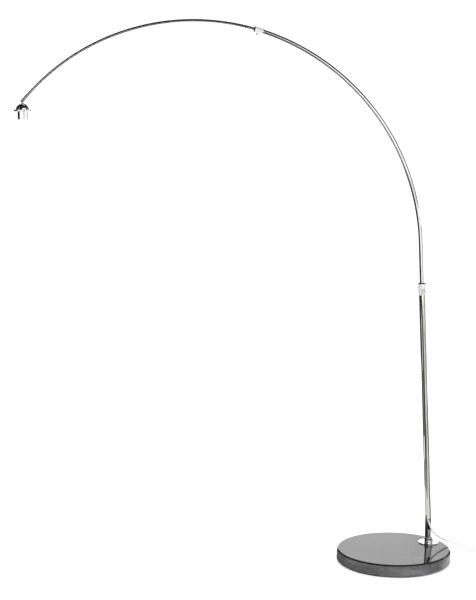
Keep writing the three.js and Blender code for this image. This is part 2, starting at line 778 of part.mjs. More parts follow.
const plug = new THREE.Group()
plug.position.set(plugBack, tailY, plugHeight)
plug.rotation.z = Math.PI
lamp.add(plug)
piece(plug, 'plug_relief', 'plastic', alongX(turned([
  [0, 0],
  [cordRadius + 0.6, 0],
  [cordRadius + 2, plugRelief - gap],
  [0, plugRelief - gap],
], 16)))
const half = plugWidth / 2
const plugOutline = new THREE.Shape([
  [0, -half * 0.42], [plugLength * 0.4, -half], [plugLength, -half],
  [plugLength, half], [plugLength * 0.4, half], [0, half * 0.42],
].map(([x, y]) => new THREE.Vector2(x, y)))
const pinHole = (y) => alongX(
  rod(plugPinRadius + gap, plugLength - 8, plugLength + 1, 12)).translate(plugRelief, y, 0)
const pinSides = [-pinSpacing / 2, pinSpacing / 2]
piece(plug, 'plug_body', 'plastic', cut(
  extruded(plugOutline, -plugThickness / 2, plugThickness / 2).translate(plugRelief, 0, 0),
  ...pinSides.map(pinHole),
))
pinSides.forEach((y, i) => {
  const pin = alongX(turned([
    [0, plugLength - 7],
    [plugPinRadius, plugLength - 7],
    [plugPinRadius, plugLength + plugPinLength - 1],
    [plugPinRadius - 1, plugLength + plugPinLength],
    [0, plugLength + plugPinLength],
  ], 12))
  piece(plug, `plug_pin_${i + 1}`, 'brass', pin.translate(plugRelief, y, 0))
})

export default lamp
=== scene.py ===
# %% [markdown]
# # An arc floor lamp, finished for the eye
# The lamp is a heavy stone disc, a leaning steel mast, and an arm in two sliding lengths of
# bent tube that carries a bare lampholder out over the room. Its frame, with every moving
# body, is already engineered. This lesson keeps that frame as it is, and gives each piece
# that shows its true roundness, its small edges and its finish.
# %% Load the frame
import math
import bmesh
import bpy
from mathutils import Matrix, Vector


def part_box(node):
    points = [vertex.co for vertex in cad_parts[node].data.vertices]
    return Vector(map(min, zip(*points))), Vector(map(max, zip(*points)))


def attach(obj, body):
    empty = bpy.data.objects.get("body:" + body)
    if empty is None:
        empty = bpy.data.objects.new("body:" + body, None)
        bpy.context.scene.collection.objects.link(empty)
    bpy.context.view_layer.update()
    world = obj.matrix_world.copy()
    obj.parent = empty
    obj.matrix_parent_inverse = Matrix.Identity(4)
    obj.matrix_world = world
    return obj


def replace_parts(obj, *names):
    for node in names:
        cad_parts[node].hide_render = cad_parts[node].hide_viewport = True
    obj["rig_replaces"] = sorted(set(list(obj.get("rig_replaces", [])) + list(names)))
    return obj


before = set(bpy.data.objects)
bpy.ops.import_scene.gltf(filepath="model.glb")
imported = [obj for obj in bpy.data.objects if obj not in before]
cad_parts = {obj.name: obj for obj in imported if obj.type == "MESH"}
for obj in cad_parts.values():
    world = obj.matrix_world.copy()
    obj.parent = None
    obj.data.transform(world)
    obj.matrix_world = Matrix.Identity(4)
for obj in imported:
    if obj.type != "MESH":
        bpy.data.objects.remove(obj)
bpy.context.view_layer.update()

MM = 0.001                     # the pieces are drawn in millimetres and finished in metres
scene = bpy.context.scene


def shifting(x=0, y=0, z=0):
    return Matrix.Translation((x, y, z))


def turning(degrees, axis):
    return Matrix.Rotation(math.radians(degrees), 4, axis)


# %% [markdown]
# ## The camera
# A product picture of a tall lamp is taken from well back with a long lens, so that the mast
# stays straight and the far end of the arm isn't stretched. The camera stands five metres in
# front, a little over a metre and a half up, and looks slightly down.
# %% Camera
camera = bpy.data.objects.new("camera", bpy.data.cameras.new("camera"))
camera.location = (0, -5.0, 1.564)
camera.rotation_euler = (math.radians(82.73), 0, math.radians(6.31))
camera.data.lens = 86.9
camera.data.sensor_width = 36
scene.collection.objects.link(camera)
scene.camera = camera
print("camera at", tuple(camera.location), "lens", camera.data.lens)

# %% [markdown]
# ## Where things stand
# Three places carry the whole lamp: the foot of the mast, any point along the arc, and the
# pin the head hangs from. Each is a frame whose Z axis runs along its piece, so that
# everything round can be drawn upright about Z and then set in place with one matrix.
# %% The frames
def spot(node, part="middle"):
    """A CAD node's middle, low or high corner, in millimetres."""
    low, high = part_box(node)
    return {"low": low, "high": high, "middle": (low + high) / 2}[part] / MM


MAST_LEAN = 2.38              # degrees, towards the arm
ARM_RADIUS = 805.2             # of the arc's centre line
SHANK_TOP = 1075               # the straight shank turns into the arc here
PIN_ALONG = 31                 # from the tip sleeve's mouth to the knuckle's pin

stone_top = spot("marble_base", "high").z
foot = spot("base_flange")
foot.z = stone_top
mast_frame = Matrix.Translation(foot) @ turning(-MAST_LEAN, "Y")


def along_arc(degrees):
    """The frame at one place on the arc, counted from the top of the shank."""
    angle = math.radians(degrees)
    there = Vector((ARM_RADIUS * (math.cos(angle) - 1), 0, SHANK_TOP + ARM_RADIUS * math.sin(angle)))
    return mast_frame @ Matrix.Translation(there) @ turning(-degrees, "Y")


MIDDLE_TUBE_END = 70.2         # degrees along the arc
UPPER_TUBE_START = 52
TIP_START = 134.5
IN_SLEEVE = 10                 # the upper tube reaches this far into the tip sleeve
UPPER_TUBE_END = TIP_START + math.degrees(IN_SLEEVE / ARM_RADIUS)
collar_frame = along_arc(MIDDLE_TUBE_END)
tip_frame = along_arc(TIP_START)
head_frame = Matrix.Translation(tip_frame @ Vector((0, 0, PIN_ALONG)))
print("foot, mm:", tuple(round(v, 1) for v in foot))
print("pin, mm:", tuple(round(v, 1) for v in head_frame.translation))

# %% [markdown]
# ## The supply cord
# The cord is soft PVC, six millimetres thick. It leaves the slot at the foot of the mast,
# falls in an easy curve over the edge of the stone, meets the floor, and passes through the
# foot switch. The length nobody needs is wound in a coil with its plug beside it. A cord could
# be a swept mesh, but a curve with a round bevel keeps one true centre line, which is what its
# length and its bends are measured on. It is made before the other pieces because everything
# else on the floor is arranged around it.
# %% The route over the stone and into the switch
CORD_RADIUS = 3
EXIT_HEIGHT = 77.3             # up the mast from the stone
FACING = math.radians(15)      # the slot and the lower knob look this far right of the front
MAST_RADIUS = 12.5
exit_from = mast_frame @ Vector((
    MAST_RADIUS * math.sin(FACING), -MAST_RADIUS * math.cos(FACING), EXIT_HEIGHT,
))
exit_along = Vector((0.342, -0.471, -0.813)).normalized()
SWITCH_AT = Vector((379, 120, 0))
SWITCH_LENGTH, SWITCH_WIDTH = 74, 38
INLET = 8                      # the height at which the cord enters the switch
route = [exit_from + exit_along * reach for reach in (2, 10, 18, 22)]
route += [Vector(point) for point in (
    (138.9, 59.8, 93.8), (147.4, 58.6, 85), (160.5, 60, 74.7), (178.1, 64.5, 64),
    (195.4, 70.5, 56.1), (221.8, 81, 44.9), (248.3, 91.5, 31.8), (274.9, 101.5, 17.6),
    (295.7, 109, 8.6), (310, 113.8, 4.6), (322, 117.2, 4), (332, 119.2, 5.2),
    (341, 120, INLET), (343.5, 120, INLET), (361, 120, INLET), (379, 120, INLET), (397, 120, INLET),
    (414.5, 120, INLET), (417, 120, INLET), (427, 120.1, 5.2), (438.4, 120.5, 4.4),
    (447.4, 120.5, 4.4), (460, 120.5, 4.4),
)]
print("points to the coil:", len(route))

# %% [markdown]
# A coil is wound by a loop: three turns inwards on the floor, three outwards on top of them,
# and one and a half over the middle, where the tail then leaves for the plug. Between two
# turns the radius slides over within a fraction of a turn, as a real winding does.
# %% The coil and the tail
COIL_AT = Vector((470, 81.5, 0))
LAYER = 2 * CORD_RADIUS
COIL_MIDDLE = 33
COIL_UNDERSIDE = 1.4           # room for the ties beneath it
coil_low = COIL_UNDERSIDE + CORD_RADIUS
rows = [(39, 0), (33, 0), (27, 0), (27, 1), (33, 1), (39, 1), (33, 2), (33, 2)]
PER_TURN = 24
CROSSING = 0.25                # share of a turn in which the cord moves over to the next row
TURNS = 7.5


def coil_point(turn):
    """A point on the winding, after that many turns from the back of the coil, clockwise."""
    row = min(int(turn), len(rows) - 1)
    radius, layer = rows[row]
    after, layer_after = rows[min(row + 1, len(rows) - 1)]
    over = max(0.0, (turn - row - (1 - CROSSING)) / CROSSING)
    over = over * over * (3 - 2 * over)
    radius += (after - radius) * over
    layer += (layer_after - layer) * over
    angle = math.pi / 2 - 2 * math.pi * turn
    height = coil_low + layer * LAYER
    return COIL_AT + Vector((radius * math.cos(angle), radius * math.sin(angle), height))


route += [coil_point(step / PER_TURN) for step in range(int(TURNS * PER_TURN) + 1)]
TAIL_Y = COIL_AT.y - COIL_MIDDLE
PLUG_BACK = 394.6
route += [Vector((x, TAIL_Y, z)) for x, z in (
    (455, 16.4), (439.6, 16.4), (430.6, 15.4), (418.6, 11.8), (406.6, 8), (399.6, 7),
    (394.9, 7), (380, 7),
)]
print("points in all:", len(route))

# %% One smooth curve through the points
curve = bpy.data.curves.new("supply_cord", "CURVE")
curve.dimensions = "3D"
curve.resolution_u = 4
curve.bevel_depth = CORD_RADIUS * MM
curve.bevel_resolution = 5
curve.use_fill_caps = True
line = curve.splines.new("BEZIER")
line.bezier_points.add(len(route) - 1)
for knot, point in zip(line.bezier_points, route):
    knot.co = point * MM
    knot.handle_left_type = knot.handle_right_type = "AUTO"
supply_cord = bpy.data.objects.new("supply_cord", curve)
scene.collection.objects.link(supply_cord)

# %% [markdown]
# ## Finishes
# Every finish is worked out in the shader from the piece's own coordinates, so it needs no
# pictures and stays put when a piece moves. Three small helpers do the repeated work: one
# starts a finish, one lays a noise pattern on it, and one turns a pattern into a gentle
# relief of the surface.
# %% Helpers for finishes
FINISHES = {}


def new_finish(slot, colour, roughness, metallic=0.0, **others):
    """A principled finish, kept under the name of its slot."""
    material = bpy.data.materials.new(slot)
    material.use_nodes = True
    shader = material.node_tree.nodes["Principled BSDF"]
    shader.inputs["Base Color"].default_value = (*colour, 1)
    shader.inputs["Roughness"].default_value = roughness
    shader.inputs["Metallic"].default_value = metallic
    for socket, value in others.items():
        shader.inputs[socket.replace("_", " ")].default_value = value
    FINISHES[slot] = material
    return material.node_tree, shader


def feed(tree, socket, value):
    """Links a node's output to a socket, or sets the socket to a plain value."""
    if isinstance(value, bpy.types.NodeSocket):
        tree.links.new(value, socket)
    else:
        socket.default_value = value


def add(tree, kind, **inputs):
    """A node of one kind, with its inputs set or linked."""
    made = tree.nodes.new("ShaderNode" + kind)
    for socket, value in inputs.items():
        feed(tree, made.inputs[socket.replace("_", " ")], value)
    return made


def worked_out(tree, kind, operation, *values):
    """One step of arithmetic, with numbers or with vectors."""
    step = add(tree, kind)
    step.operation = operation
    for socket, value in zip(step.inputs, values):
        feed(tree, socket, value)
    return step.outputs["Value"]


def speckle(tree, scale, detail=4.0, rough=0.5, stretch=(1, 1, 1), warp=0.0):
    """A noise pattern on the piece's own coordinates, from 0 to 1."""
    place = add(tree, "TexCoord").outputs["Object"]
    turned_to = add(tree, "Mapping", Vector=place, Scale=stretch).outputs["Vector"]
    noise = add(tree, "TexNoise", Vector=turned_to, Scale=scale, Detail=detail,
                Roughness=rough, Distortion=warp)
    return noise.outputs["Fac"]


def between(tree, pattern, low, high, start=0.3, end=0.7):
    """The pattern stretched to run from low to high."""
    span = add(tree, "MapRange", Value=pattern, From_Min=start, From_Max=end, To_Min=low, To_Max=high)
    return span.outputs["Result"]


def mixed(tree, share, first, second, blend="MIX"):
    """Two colours mixed by a share, where each is a node's output or a plain colour."""
    blender = add(tree, "Mix")
    blender.data_type = "RGBA"
    blender.blend_type = blend
    for number, value in ((0, share), (6, first), (7, second)):
        feed(tree, blender.inputs[number], value)
    return blender.outputs[2]


def ramped(tree, pattern, *stops):
    """A pattern turned into colours: each stop is a place from 0 to 1 and a colour."""
    ramp = add(tree, "ValToRGB", Fac=pattern)
    points = ramp.color_ramp.elements
    while len(points) < len(stops):
        points.new(0.5)
    for point, (place, colour) in zip(points, stops):
        point.position = place
        point.color = (*colour, 1)
    return ramp.outputs["Color"]


def coloured(tree, shader, pattern, *stops):
    """Colours the surface by a pattern: each stop is a place from 0 to 1 and a colour."""
    tree.links.new(ramped(tree, pattern, *stops), shader.inputs["Base Color"])


def relief(tree, shader, pattern, depth, strength=1.0):
    """Raises and sinks the surface by a pattern; the depth is in millimetres."""
    bump = add(tree, "Bump", Height=pattern, Strength=strength, Distance=depth * MM)
    tree.links.new(bump.outputs["Normal"], shader.inputs["Normal"])
    return bump


def roughened(tree, shader, pattern, low, high):
    """Lets the roughness wander between two values."""
    tree.links.new(between(tree, pattern, low, high), shader.inputs["Roughness"])


# %% [markdown]
# ### Chrome
# Chrome plate on steel is almost a mirror. What makes it read as metal rather than as glass is
# what it reflects, and the little it doesn't: a faint haze where hands have been, and very
# fine polishing lines. A wide soft noise moves the roughness and the tone by a few hundredths,
# and a tight one gives a relief of well under a hundredth of a millimetre.
# %% Chrome
chrome, chrome_shader = new_finish("chrome", (0.9, 0.905, 0.91), 0.05, 1.0)
haze = speckle(chrome, 28, 5, 0.6, warp=0.4)
coloured(chrome, chrome_shader, haze, (0.3, (0.83, 0.84, 0.855)), (0.62, (0.93, 0.935, 0.94)))
roughened(chrome, chrome_shader, haze, 0.075, 0.035)
relief(chrome, chrome_shader, speckle(chrome, 900, 2, 0.5, (1, 1, 0.15)), 0.004, 0.25)
print("chrome: haze over a mirror")

# %% [markdown]
# ### Stone
# The base is black marble. Its top and its arris are polished until they mirror the room, so
# seen at a low angle the top looks far paler than the stone is. The rim is only honed, which
# leaves it greyer and lets its clouds show. Thin paler threads run through the stone where
# cracks once healed: they are the narrow band in which a warped noise passes through its
# middle value, a simple way to draw a line that wanders and never repeats.
# %% The ground of the stone
POLISHED_TO = 0.1996           # metres from the middle: beyond this the stone is honed
marble, marble_shader = new_finish("marble", (0.02, 0.02, 0.021), 0.06)
clouds = speckle(marble, 14, 8, 0.66, (1, 1, 2.2), warp=0.7)
grain = speckle(marble, 150, 6, 0.7)
flat_place = add(marble, "Mapping", Vector=add(marble, "TexCoord").outputs["Object"], Scale=(1, 1, 0))
from_axis = worked_out(marble, "VectorMath", "LENGTH", flat_place.outputs["Vector"])
honed = between(marble, from_axis, 0.0, 1.0, POLISHED_TO, POLISHED_TO + 0.0004)
polished_ground = ramped(marble, clouds, (0.35, (0.012, 0.012, 0.013)), (0.68, (0.03, 0.03, 0.032)))
honed_ground = ramped(marble, clouds, (0.3, (0.055, 0.055, 0.058)), (0.5, (0.085, 0.086, 0.09)),
                      (0.72, (0.15, 0.151, 0.156)))
ground = mixed(marble, honed, polished_ground, honed_ground)
ground = mixed(marble, 0.5, ground, between(marble, grain, 0.5, 1.4), "MULTIPLY")

# %% Its threads
threads = speckle(marble, 4.2, 6, 0.58, (1, 1.8, 1), warp=1.7)
off_middle = worked_out(marble, "Math", "SUBTRACT", threads, 0.5)
off_middle = worked_out(marble, "Math", "ABSOLUTE", off_middle)
patches = speckle(marble, 7, 2, 0.5)
thread_share = worked_out(
    marble, "Math", "MULTIPLY",
    between(marble, off_middle, 0.4, 0.0, 0.0, 0.007), between(marble, patches, 0.0, 1.0, 0.48, 0.62),
)
stone_colour = mixed(marble, thread_share, ground, (0.3, 0.3, 0.31, 1))
marble.links.new(stone_colour, marble_shader.inputs["Base Color"])
marble.links.new(between(marble, honed, 0.05, 0.32, 0.0, 1.0), marble_shader.inputs["Roughness"])
relief(marble, marble_shader, grain, 0.01, 0.25)
print("marble: ground, clouds and threads")

# %% [markdown]
# ### Satin chrome
# The two collars are not polished before they are plated, so they keep a silky, paler look. The
# metal is several times rougher than the chrome, and its half-way metallic value scatters
# part of the light. A black band is painted around each mouth: it is painted shade, the dark
# where the thinner tube enters the collar.
# %% Satin chrome and the painted shade at the mouths
satin, satin_shader = new_finish("satin_chrome", (0.9, 0.905, 0.92), 0.3, 0.5)
silk = speckle(satin, 140, 4, 0.6, (1, 1, 0.3))
coloured(satin, satin_shader, silk, (0.3, (0.84, 0.85, 0.87)), (0.65, (0.95, 0.955, 0.97)))
roughened(satin, satin_shader, silk, 0.34, 0.24)
relief(satin, satin_shader, silk, 0.02, 0.4)
# The mouths of the two collars are painted black: painted shade where the thinner tube enters.
mouth_shade_tree, mouth_shade_shader = new_finish("mouth_painted_shade", (0.02, 0.02, 0.021), 0.45)
mouth_shade_tone = speckle(mouth_shade_tree, 200, 4, 0.6)
coloured(mouth_shade_tree, mouth_shade_shader, mouth_shade_tone, (0.3, (0.012, 0.012, 0.013)), (0.7, (0.03, 0.03, 0.032)))
roughened(mouth_shade_tree, mouth_shade_shader, mouth_shade_tone, 0.5, 0.38)


def banded(made, frame_of, above, finish):
    """Gives the faces higher than that, in millimetres along the tube, a second finish."""
    made.data.materials.append(FINISHES[finish])
    back = frame_of.inverted()
    for face in made.data.polygons:
        if (back @ (face.center / MM)).z > above:
            face.material_index = 1


# %% [markdown]
# ### The plainer finishes
# Zinc plate, brass, nylon, steatite, moulded plastic, PVC and felt each need only a tone that
# wanders a little, a roughness to match and a grain at the right scale. One loop makes them
# from a table, where a row says the pale and the dark tone, the roughness, how metallic it
# is, the size of the grain and its depth in millimetres.
# %% The table of plain finishes
PLAIN = {
    "steel": ((0.5, 0.51, 0.53), (0.34, 0.35, 0.37), 0.32, 1.0, 160, 0.02),
    "brass": ((0.83, 0.62, 0.3), (0.66, 0.46, 0.2), 0.28, 1.0, 120, 0.015),
    "nylon": ((0.8, 0.78, 0.7), (0.7, 0.675, 0.59), 0.5, 0.0, 90, 0.03),
    "ceramic": ((0.87, 0.86, 0.83), (0.78, 0.765, 0.73), 0.3, 0.0, 70, 0.04),
    "white_plastic": ((0.84, 0.84, 0.83), (0.775, 0.775, 0.76), 0.38, 0.0, 420, 0.03),
    "cord": ((0.745, 0.745, 0.74), (0.67, 0.67, 0.665), 0.45, 0.0, 260, 0.04),
    "live_wire": ((0.25, 0.115, 0.05), (0.17, 0.075, 0.03), 0.45, 0.0, 200, 0.02),
    "neutral_wire": ((0.07, 0.17, 0.48), (0.045, 0.11, 0.35), 0.45, 0.0, 200, 0.02),
    "felt": ((0.028, 0.028, 0.03), (0.012, 0.012, 0.013), 0.95, 0.0, 700, 0.35),
}
for slot_name, (pale, dark, rough, metal, grain_size, depth) in PLAIN.items():
    tree, shader = new_finish(slot_name, pale, rough, metal)
    tone = speckle(tree, grain_size * 0.25, 5, 0.6)
    coloured(tree, shader, tone, (0.34, dark), (0.62, pale))
    roughened(tree, shader, tone, rough * 1.15, rough * 0.85)
    relief(tree, shader, speckle(tree, grain_size, 3, 0.55), depth, 0.6)
FINISHES["felt"].node_tree.nodes["Principled BSDF"].inputs["Sheen Weight"].default_value = 0.35
print("finishes:", sorted(FINISHES))

# %% [markdown]
# ### The inside of a tube
# Plating hardly reaches the inside of a tube, so the bore is bare steel, its colour painted
# nearly black as painted shade for the dark inside the tube. It is why the slot at the foot of the mast
# looks dark.
# %% Bare steel, painted dark as shade
bore_shade_tree, bore_shade_shader = new_finish("bore_painted_shade", (0.02, 0.019, 0.018), 0.6, 0.6)
bore_shade_tone = speckle(bore_shade_tree, 60, 5, 0.6)
coloured(bore_shade_tree, bore_shade_shader, bore_shade_tone, (0.3, (0.012, 0.011, 0.01)), (0.7, (0.035, 0.032, 0.03)))


def painted_bore_shade(made, frame_of, radius):
    """Gives the faces nearer the axis than that radius, in millimetres, the bore's finish, painted
    nearly black as shade.
    """
    made.data.materials.append(FINISHES["bore_painted_shade"])
    back = frame_of.inverted()
    for face in made.data.polygons:
        place = back @ (face.center / MM)
        if math.hypot(place.x, place.y) < radius:
            face.material_index = 1


# %% [markdown]
# ## Making and finishing a piece
# Nearly every piece of a lamp comes off a lathe, a tube bender or a press. `turned` is the
# lathe: it spins an outline of radius and height about Z. `carved` is the drill and the saw:
# it takes the shape of other closed pieces away. `softened` breaks the sharp edges, because no
# real edge is perfectly sharp and a tiny round is what catches the light. `finished` turns
# millimetres into metres, gives the piece its material and lets it ride on its body.
# %% Workshop helpers
def turned(outline, steps=64):
    """Spins an outline of (radius, height) about Z, closed unless both ends are on the axis."""
    bm = bmesh.new()
    dots = [bm.verts.new((radius, 0, height)) for radius, height in outline]
    lines = [bm.edges.new(pair) for pair in zip(dots, dots[1:])]
    if outline[0][0] > 0 or outline[-1][0] > 0:
        lines.append(bm.edges.new((dots[-1], dots[0])))
    bmesh.ops.spin(bm, geom=dots + lines, cent=(0, 0, 0), axis=(0, 0, 1),
                   angle=2 * math.pi, steps=steps, use_merge=True)
    bmesh.ops.remove_doubles(bm, verts=bm.verts, dist=1e-4)
    bmesh.ops.recalc_face_normals(bm, faces=bm.faces)
    return bm


def rim(radius, base, *points):
    """Points of an outline, each given as (inwards, up) from a radius and a height."""
    return [(radius - inwards, base + up) for inwards, up in points]


def rod(radius, low, high, steps=64):
    return turned([(0, low), (radius, low), (radius, high), (0, high)], steps)


def pipe(outer, inner, low, high, steps=64):
    return turned([(inner, low), (outer, low), (outer, high), (inner, high)], steps)


def block(x, y, z):
    """A box between two places on each axis."""
    bm = bmesh.new()
    size = [high - low for low, high in (x, y, z)]
    middle = Vector([(high + low) / 2 for low, high in (x, y, z)])
    bmesh.ops.create_cube(bm, size=1, matrix=shifting(*middle) @ Matrix.Diagonal((*size, 1)))
    return bm


def moved(bm, matrix):
    bmesh.ops.transform(bm, matrix=matrix, verts=bm.verts)
    return bm


def rounded(bm, edges, width, segments, clamped=False):
    """Rounds those edges."""
    bmesh.ops.bevel(bm, geom=edges, offset=width, offset_type="OFFSET", segments=segments,
                    profile=0.5, affect="EDGES", material=-1, clamp_overlap=clamped)
    return bm


def softened(bm, width, segments=2, sharper_than=35):
    """Rounds every edge whose faces meet at more than that many degrees."""
    edges = [e for e in bm.edges if len(e.link_faces) == 2
             and e.calc_face_angle(0) > math.radians(sharper_than)]
    return rounded(bm, edges, width, segments, clamped=True)


def as_object(bm, name="blank"):
    """The drawn shape as an object in the scene."""
    mesh = bpy.data.meshes.new(name)
    bm.to_mesh(mesh)
    bm.free()
    made = bpy.data.objects.new(name, mesh)
    scene.collection.objects.link(made)
    return made


def carved(bm, *cutters, joining=False):
    """The piece with the cutters' shapes taken out of it, or with them added to it."""
    blank = as_object(bm)
    tools = [as_object(cutter) for cutter in cutters]
    for tool in tools:
        saw = blank.modifiers.new("saw", "BOOLEAN")
        saw.operation = "UNION" if joining else "DIFFERENCE"
        saw.solver = "EXACT"
        saw.object = tool
    result = bmesh.new()
    result.from_object(blank, bpy.context.evaluated_depsgraph_get())
    for used in (blank, *tools):
        mesh = used.data
        bpy.data.objects.remove(used)
        bpy.data.meshes.remove(mesh)
    bmesh.ops.remove_doubles(result, verts=result.verts, dist=1e-4)
    return result


MADE = []


def finished(bm, name, slot, body, stands_for=(), place=None, sharp=20, finish=None):
    """A piece in metres, at its place, with its finish, riding on its body."""
    if place is not None:
        moved(bm, place)
    bmesh.ops.scale(bm, vec=(MM, MM, MM), verts=bm.verts)
    made = as_object(bm, name)
    made.data.shade_smooth()
    made.data.set_sharp_from_angle(angle=math.radians(sharp))
    made.data.materials.append(FINISHES[finish or slot])
    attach(made, body)
    if stands_for:
        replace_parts(made, *stands_for)
    MADE.append(made)
    print(f"{name}: {len(made.data.polygons)} faces on {body}")
    return made


# %% [markdown]
# ## The stone base
# A disc four hundred millimetres across and forty-four thick gives the lamp its weight. Its
# two rims have an arris, ground at forty-five degrees so that the stone doesn't chip.
# The disc is turned, and then drilled for the socket, the bolt and the two flange screws.
# %% Marble disc and felt
felt_top = spot("base_felt", "high").z
stone_bottom = spot("marble_base", "low").z
STONE_RADIUS = 200
ARRIS = 5
SOCKET_RADIUS = MAST_RADIUS + 2.5
GAP = 0.3
SOCKET_DEPTH = 20
RECESS_RADIUS, RECESS_DEPTH = 28, 12
BOLT_RADIUS = 4
SCREW_RADIUS = 2
SCREW_SPREAD = 23
PAST = 5                       # a cutter reaches this far past the surface it opens
FLANGE_TOP = spot("base_flange", "high").z
SCREW_TIP = FLANGE_TOP - 16
up_from_foot = shifting(foot.x, foot.y, 0)


def at_screw(side):
    return shifting(foot.x + side * SCREW_SPREAD, foot.y, 0)


disc = turned([
    (0, stone_bottom), *rim(STONE_RADIUS, stone_bottom, (ARRIS, 0), (0, ARRIS)),
    *rim(STONE_RADIUS, stone_top, (0, -ARRIS), (ARRIS, 0)), (0, stone_top),
], 192)
disc = softened(disc, 0.3, 1, 30)
disc = carved(
    disc,
    moved(rod(SOCKET_RADIUS + GAP, stone_top - SOCKET_DEPTH - GAP, stone_top + PAST), up_from_foot),
    moved(rod(BOLT_RADIUS + 2 * GAP, stone_bottom + PAST, stone_top), up_from_foot),
    moved(rod(RECESS_RADIUS, stone_bottom - PAST, stone_bottom + RECESS_DEPTH), up_from_foot),
    *[moved(rod(SCREW_RADIUS + GAP, SCREW_TIP - 1, stone_top + PAST, 24), at_screw(side))
      for side in (-1, 1)],
)
finished(disc, "stone_disc", "marble", "stand", ["marble_base"])
FELT_INSET = 8
pad = softened(rod(STONE_RADIUS - FELT_INSET, 0, felt_top, 128), 0.5, 2)
finished(pad, "felt_pad", "felt", "stand", ["base_felt"])

# %% [markdown]
# ## The flange and the socket
# A thin chromed flange covers the hole in the stone, held by two slotted screws. Inside it
# stands the socket, a short post bored at the lean of the mast, drawn down by a bolt from
# below, with a set screw that keeps the mast from turning.
# %% Flange and its screws
flange_low = spot("base_flange", "low").z
FLANGE_RADIUS = 37.5
flange_outline = [
    (SOCKET_RADIUS + GAP, flange_low),
    *rim(FLANGE_RADIUS, flange_low, (0, 0), (0, 1), (0.3, 1.7)),
    *rim(FLANGE_RADIUS, FLANGE_TOP, (0.9, -0.5), (1.6, 0)),
    (SOCKET_RADIUS + 1, FLANGE_TOP), (SOCKET_RADIUS + GAP, FLANGE_TOP - 0.6),
]
SCREW_HEAD = 4
head_low = FLANGE_TOP - 2


def countersink(side):
    shank, head = SCREW_RADIUS + GAP, SCREW_HEAD + GAP
    outline = [(0, flange_low - 1), (shank, flange_low - 1), (shank, head_low),
               (head, FLANGE_TOP), (head, FLANGE_TOP + 2), (0, FLANGE_TOP + 2)]
    return moved(turned(outline, 40), shifting(side * SCREW_SPREAD))


flange = carved(turned(flange_outline, 128), countersink(-1), countersink(1))
finished(flange, "foot_flange", "chrome", "stand", ["base_flange"], up_from_foot)
for side, node_name in ((-1, "flange_screw_left"), (1, "flange_screw_right")):
    screw = turned([
        (0, SCREW_TIP), (SCREW_RADIUS, SCREW_TIP + 2), (SCREW_RADIUS, head_low),
        *rim(SCREW_HEAD, FLANGE_TOP, (0, -0.15), (0.1, 0.05), (1, 0.6), (2.4, 0.8), (SCREW_HEAD, 0.85)),
    ], 40)
    slot_cut = block((-6, 6), (-0.4, 0.4), (FLANGE_TOP - 0.4, FLANGE_TOP + 2))
    screw = carved(screw, moved(slot_cut, turning(20 * side, "Z")))
    finished(screw, node_name.replace("flange", "foot"), "steel", "stand", [node_name], at_screw(side))

# %% Socket and set screw
socket_low = spot("mast_socket", "low").z
socket_high = spot("mast_socket", "high").z
MAST_SEAT = 8 - SOCKET_DEPTH    # the mast stands in the socket down to here
SET_SCREW_UP = 12
SET_SCREW_RADIUS = 2.3
set_screw_place = (shifting(foot.x, foot.y, stone_top + SET_SCREW_UP)
                   @ turning(-30, "Z") @ turning(90, "Y"))
socket_outline = [
    (0, socket_low), *rim(SOCKET_RADIUS, socket_low, (0.4, 0), (0, 0.4)),
    *rim(SOCKET_RADIUS, socket_high, (0, -1), (0.3, -0.3), (1, 0)), (0, socket_high),
]
socket = carved(
    moved(turned(socket_outline, 96), up_from_foot),
    moved(rod(MAST_RADIUS + GAP, MAST_SEAT, 30, 96), mast_frame),
    moved(rod(SET_SCREW_RADIUS + GAP, 0, 30, 32), set_screw_place),
    moved(rod(BOLT_RADIUS + GAP, 0, stone_top), up_from_foot),
)
finished(socket, "mast_post", "chrome", "stand", ["mast_socket"])
set_screw = carved(
    turned([(0, 13.4), *rim(SET_SCREW_RADIUS, 13.4, (0.4, 0), (0, 0.4), (0, 2.7), (0.3, 3)),
            (0, 16.4)], 32),
    rod(2.2 / math.sqrt(3), 14.6, 18, 6),
)
finished(set_screw, "set_screw", "steel", "stand", ["socket_set_screw"], set_screw_place)

# %% [markdown]
# ## The mast
# A straight steel tube, twenty-five millimetres across with a wall of one and a half. It has a
# long slot near its foot, through which the cord comes out, and a hole near its top for the
# lower knob. The slot is cut with a stadium, the outline that a milling cutter leaves.
# %% Stadium and mast tube
def stadium(length, width, low, high, steps=48):
    """A block with round ends, longer along X: a circle whose halves are pulled apart."""
    bm = bmesh.new()
    half_step = turning(180 / steps, "Z")
    bmesh.ops.create_circle(bm, cap_ends=True, segments=steps, radius=width / 2, matrix=half_step)
    for vert in bm.verts:
        vert.co.x += math.copysign((length - width) / 2, vert.co.x)
        vert.co.z = low
    grown = bmesh.ops.extrude_face_region(bm, geom=bm.faces[:])
    tops = [item for item in grown["geom"] if isinstance(item, bmesh.types.BMVert)]
    bmesh.ops.translate(bm, vec=(0, 0, high - low), verts=tops)
    bmesh.ops.recalc_face_normals(bm, faces=bm.faces)
    return bm


def out_of_mast(height):
    """Turns a piece made along Z to point forwards out of the mast, at a height up it."""
    return shifting(z=height) @ Matrix.Rotation(FACING, 4, "Z") @ turning(90, "X")


MAST_LENGTH = 918
MAST_BORE = 11
SLOT_LOW, SLOT_HIGH, SLOT_WIDTH = 49.5, 90, 11.5
KNOB_AT = MAST_LENGTH - 12
KNOB_SCREW = 3
slot_tool = stadium(SLOT_HIGH - SLOT_LOW, SLOT_WIDTH, 2, 25)
moved(slot_tool, out_of_mast((SLOT_HIGH + SLOT_LOW) / 2) @ turning(90, "Z"))


def knob_hole():
    return moved(rod(KNOB_SCREW + GAP, 2, 25, 32), out_of_mast(KNOB_AT))


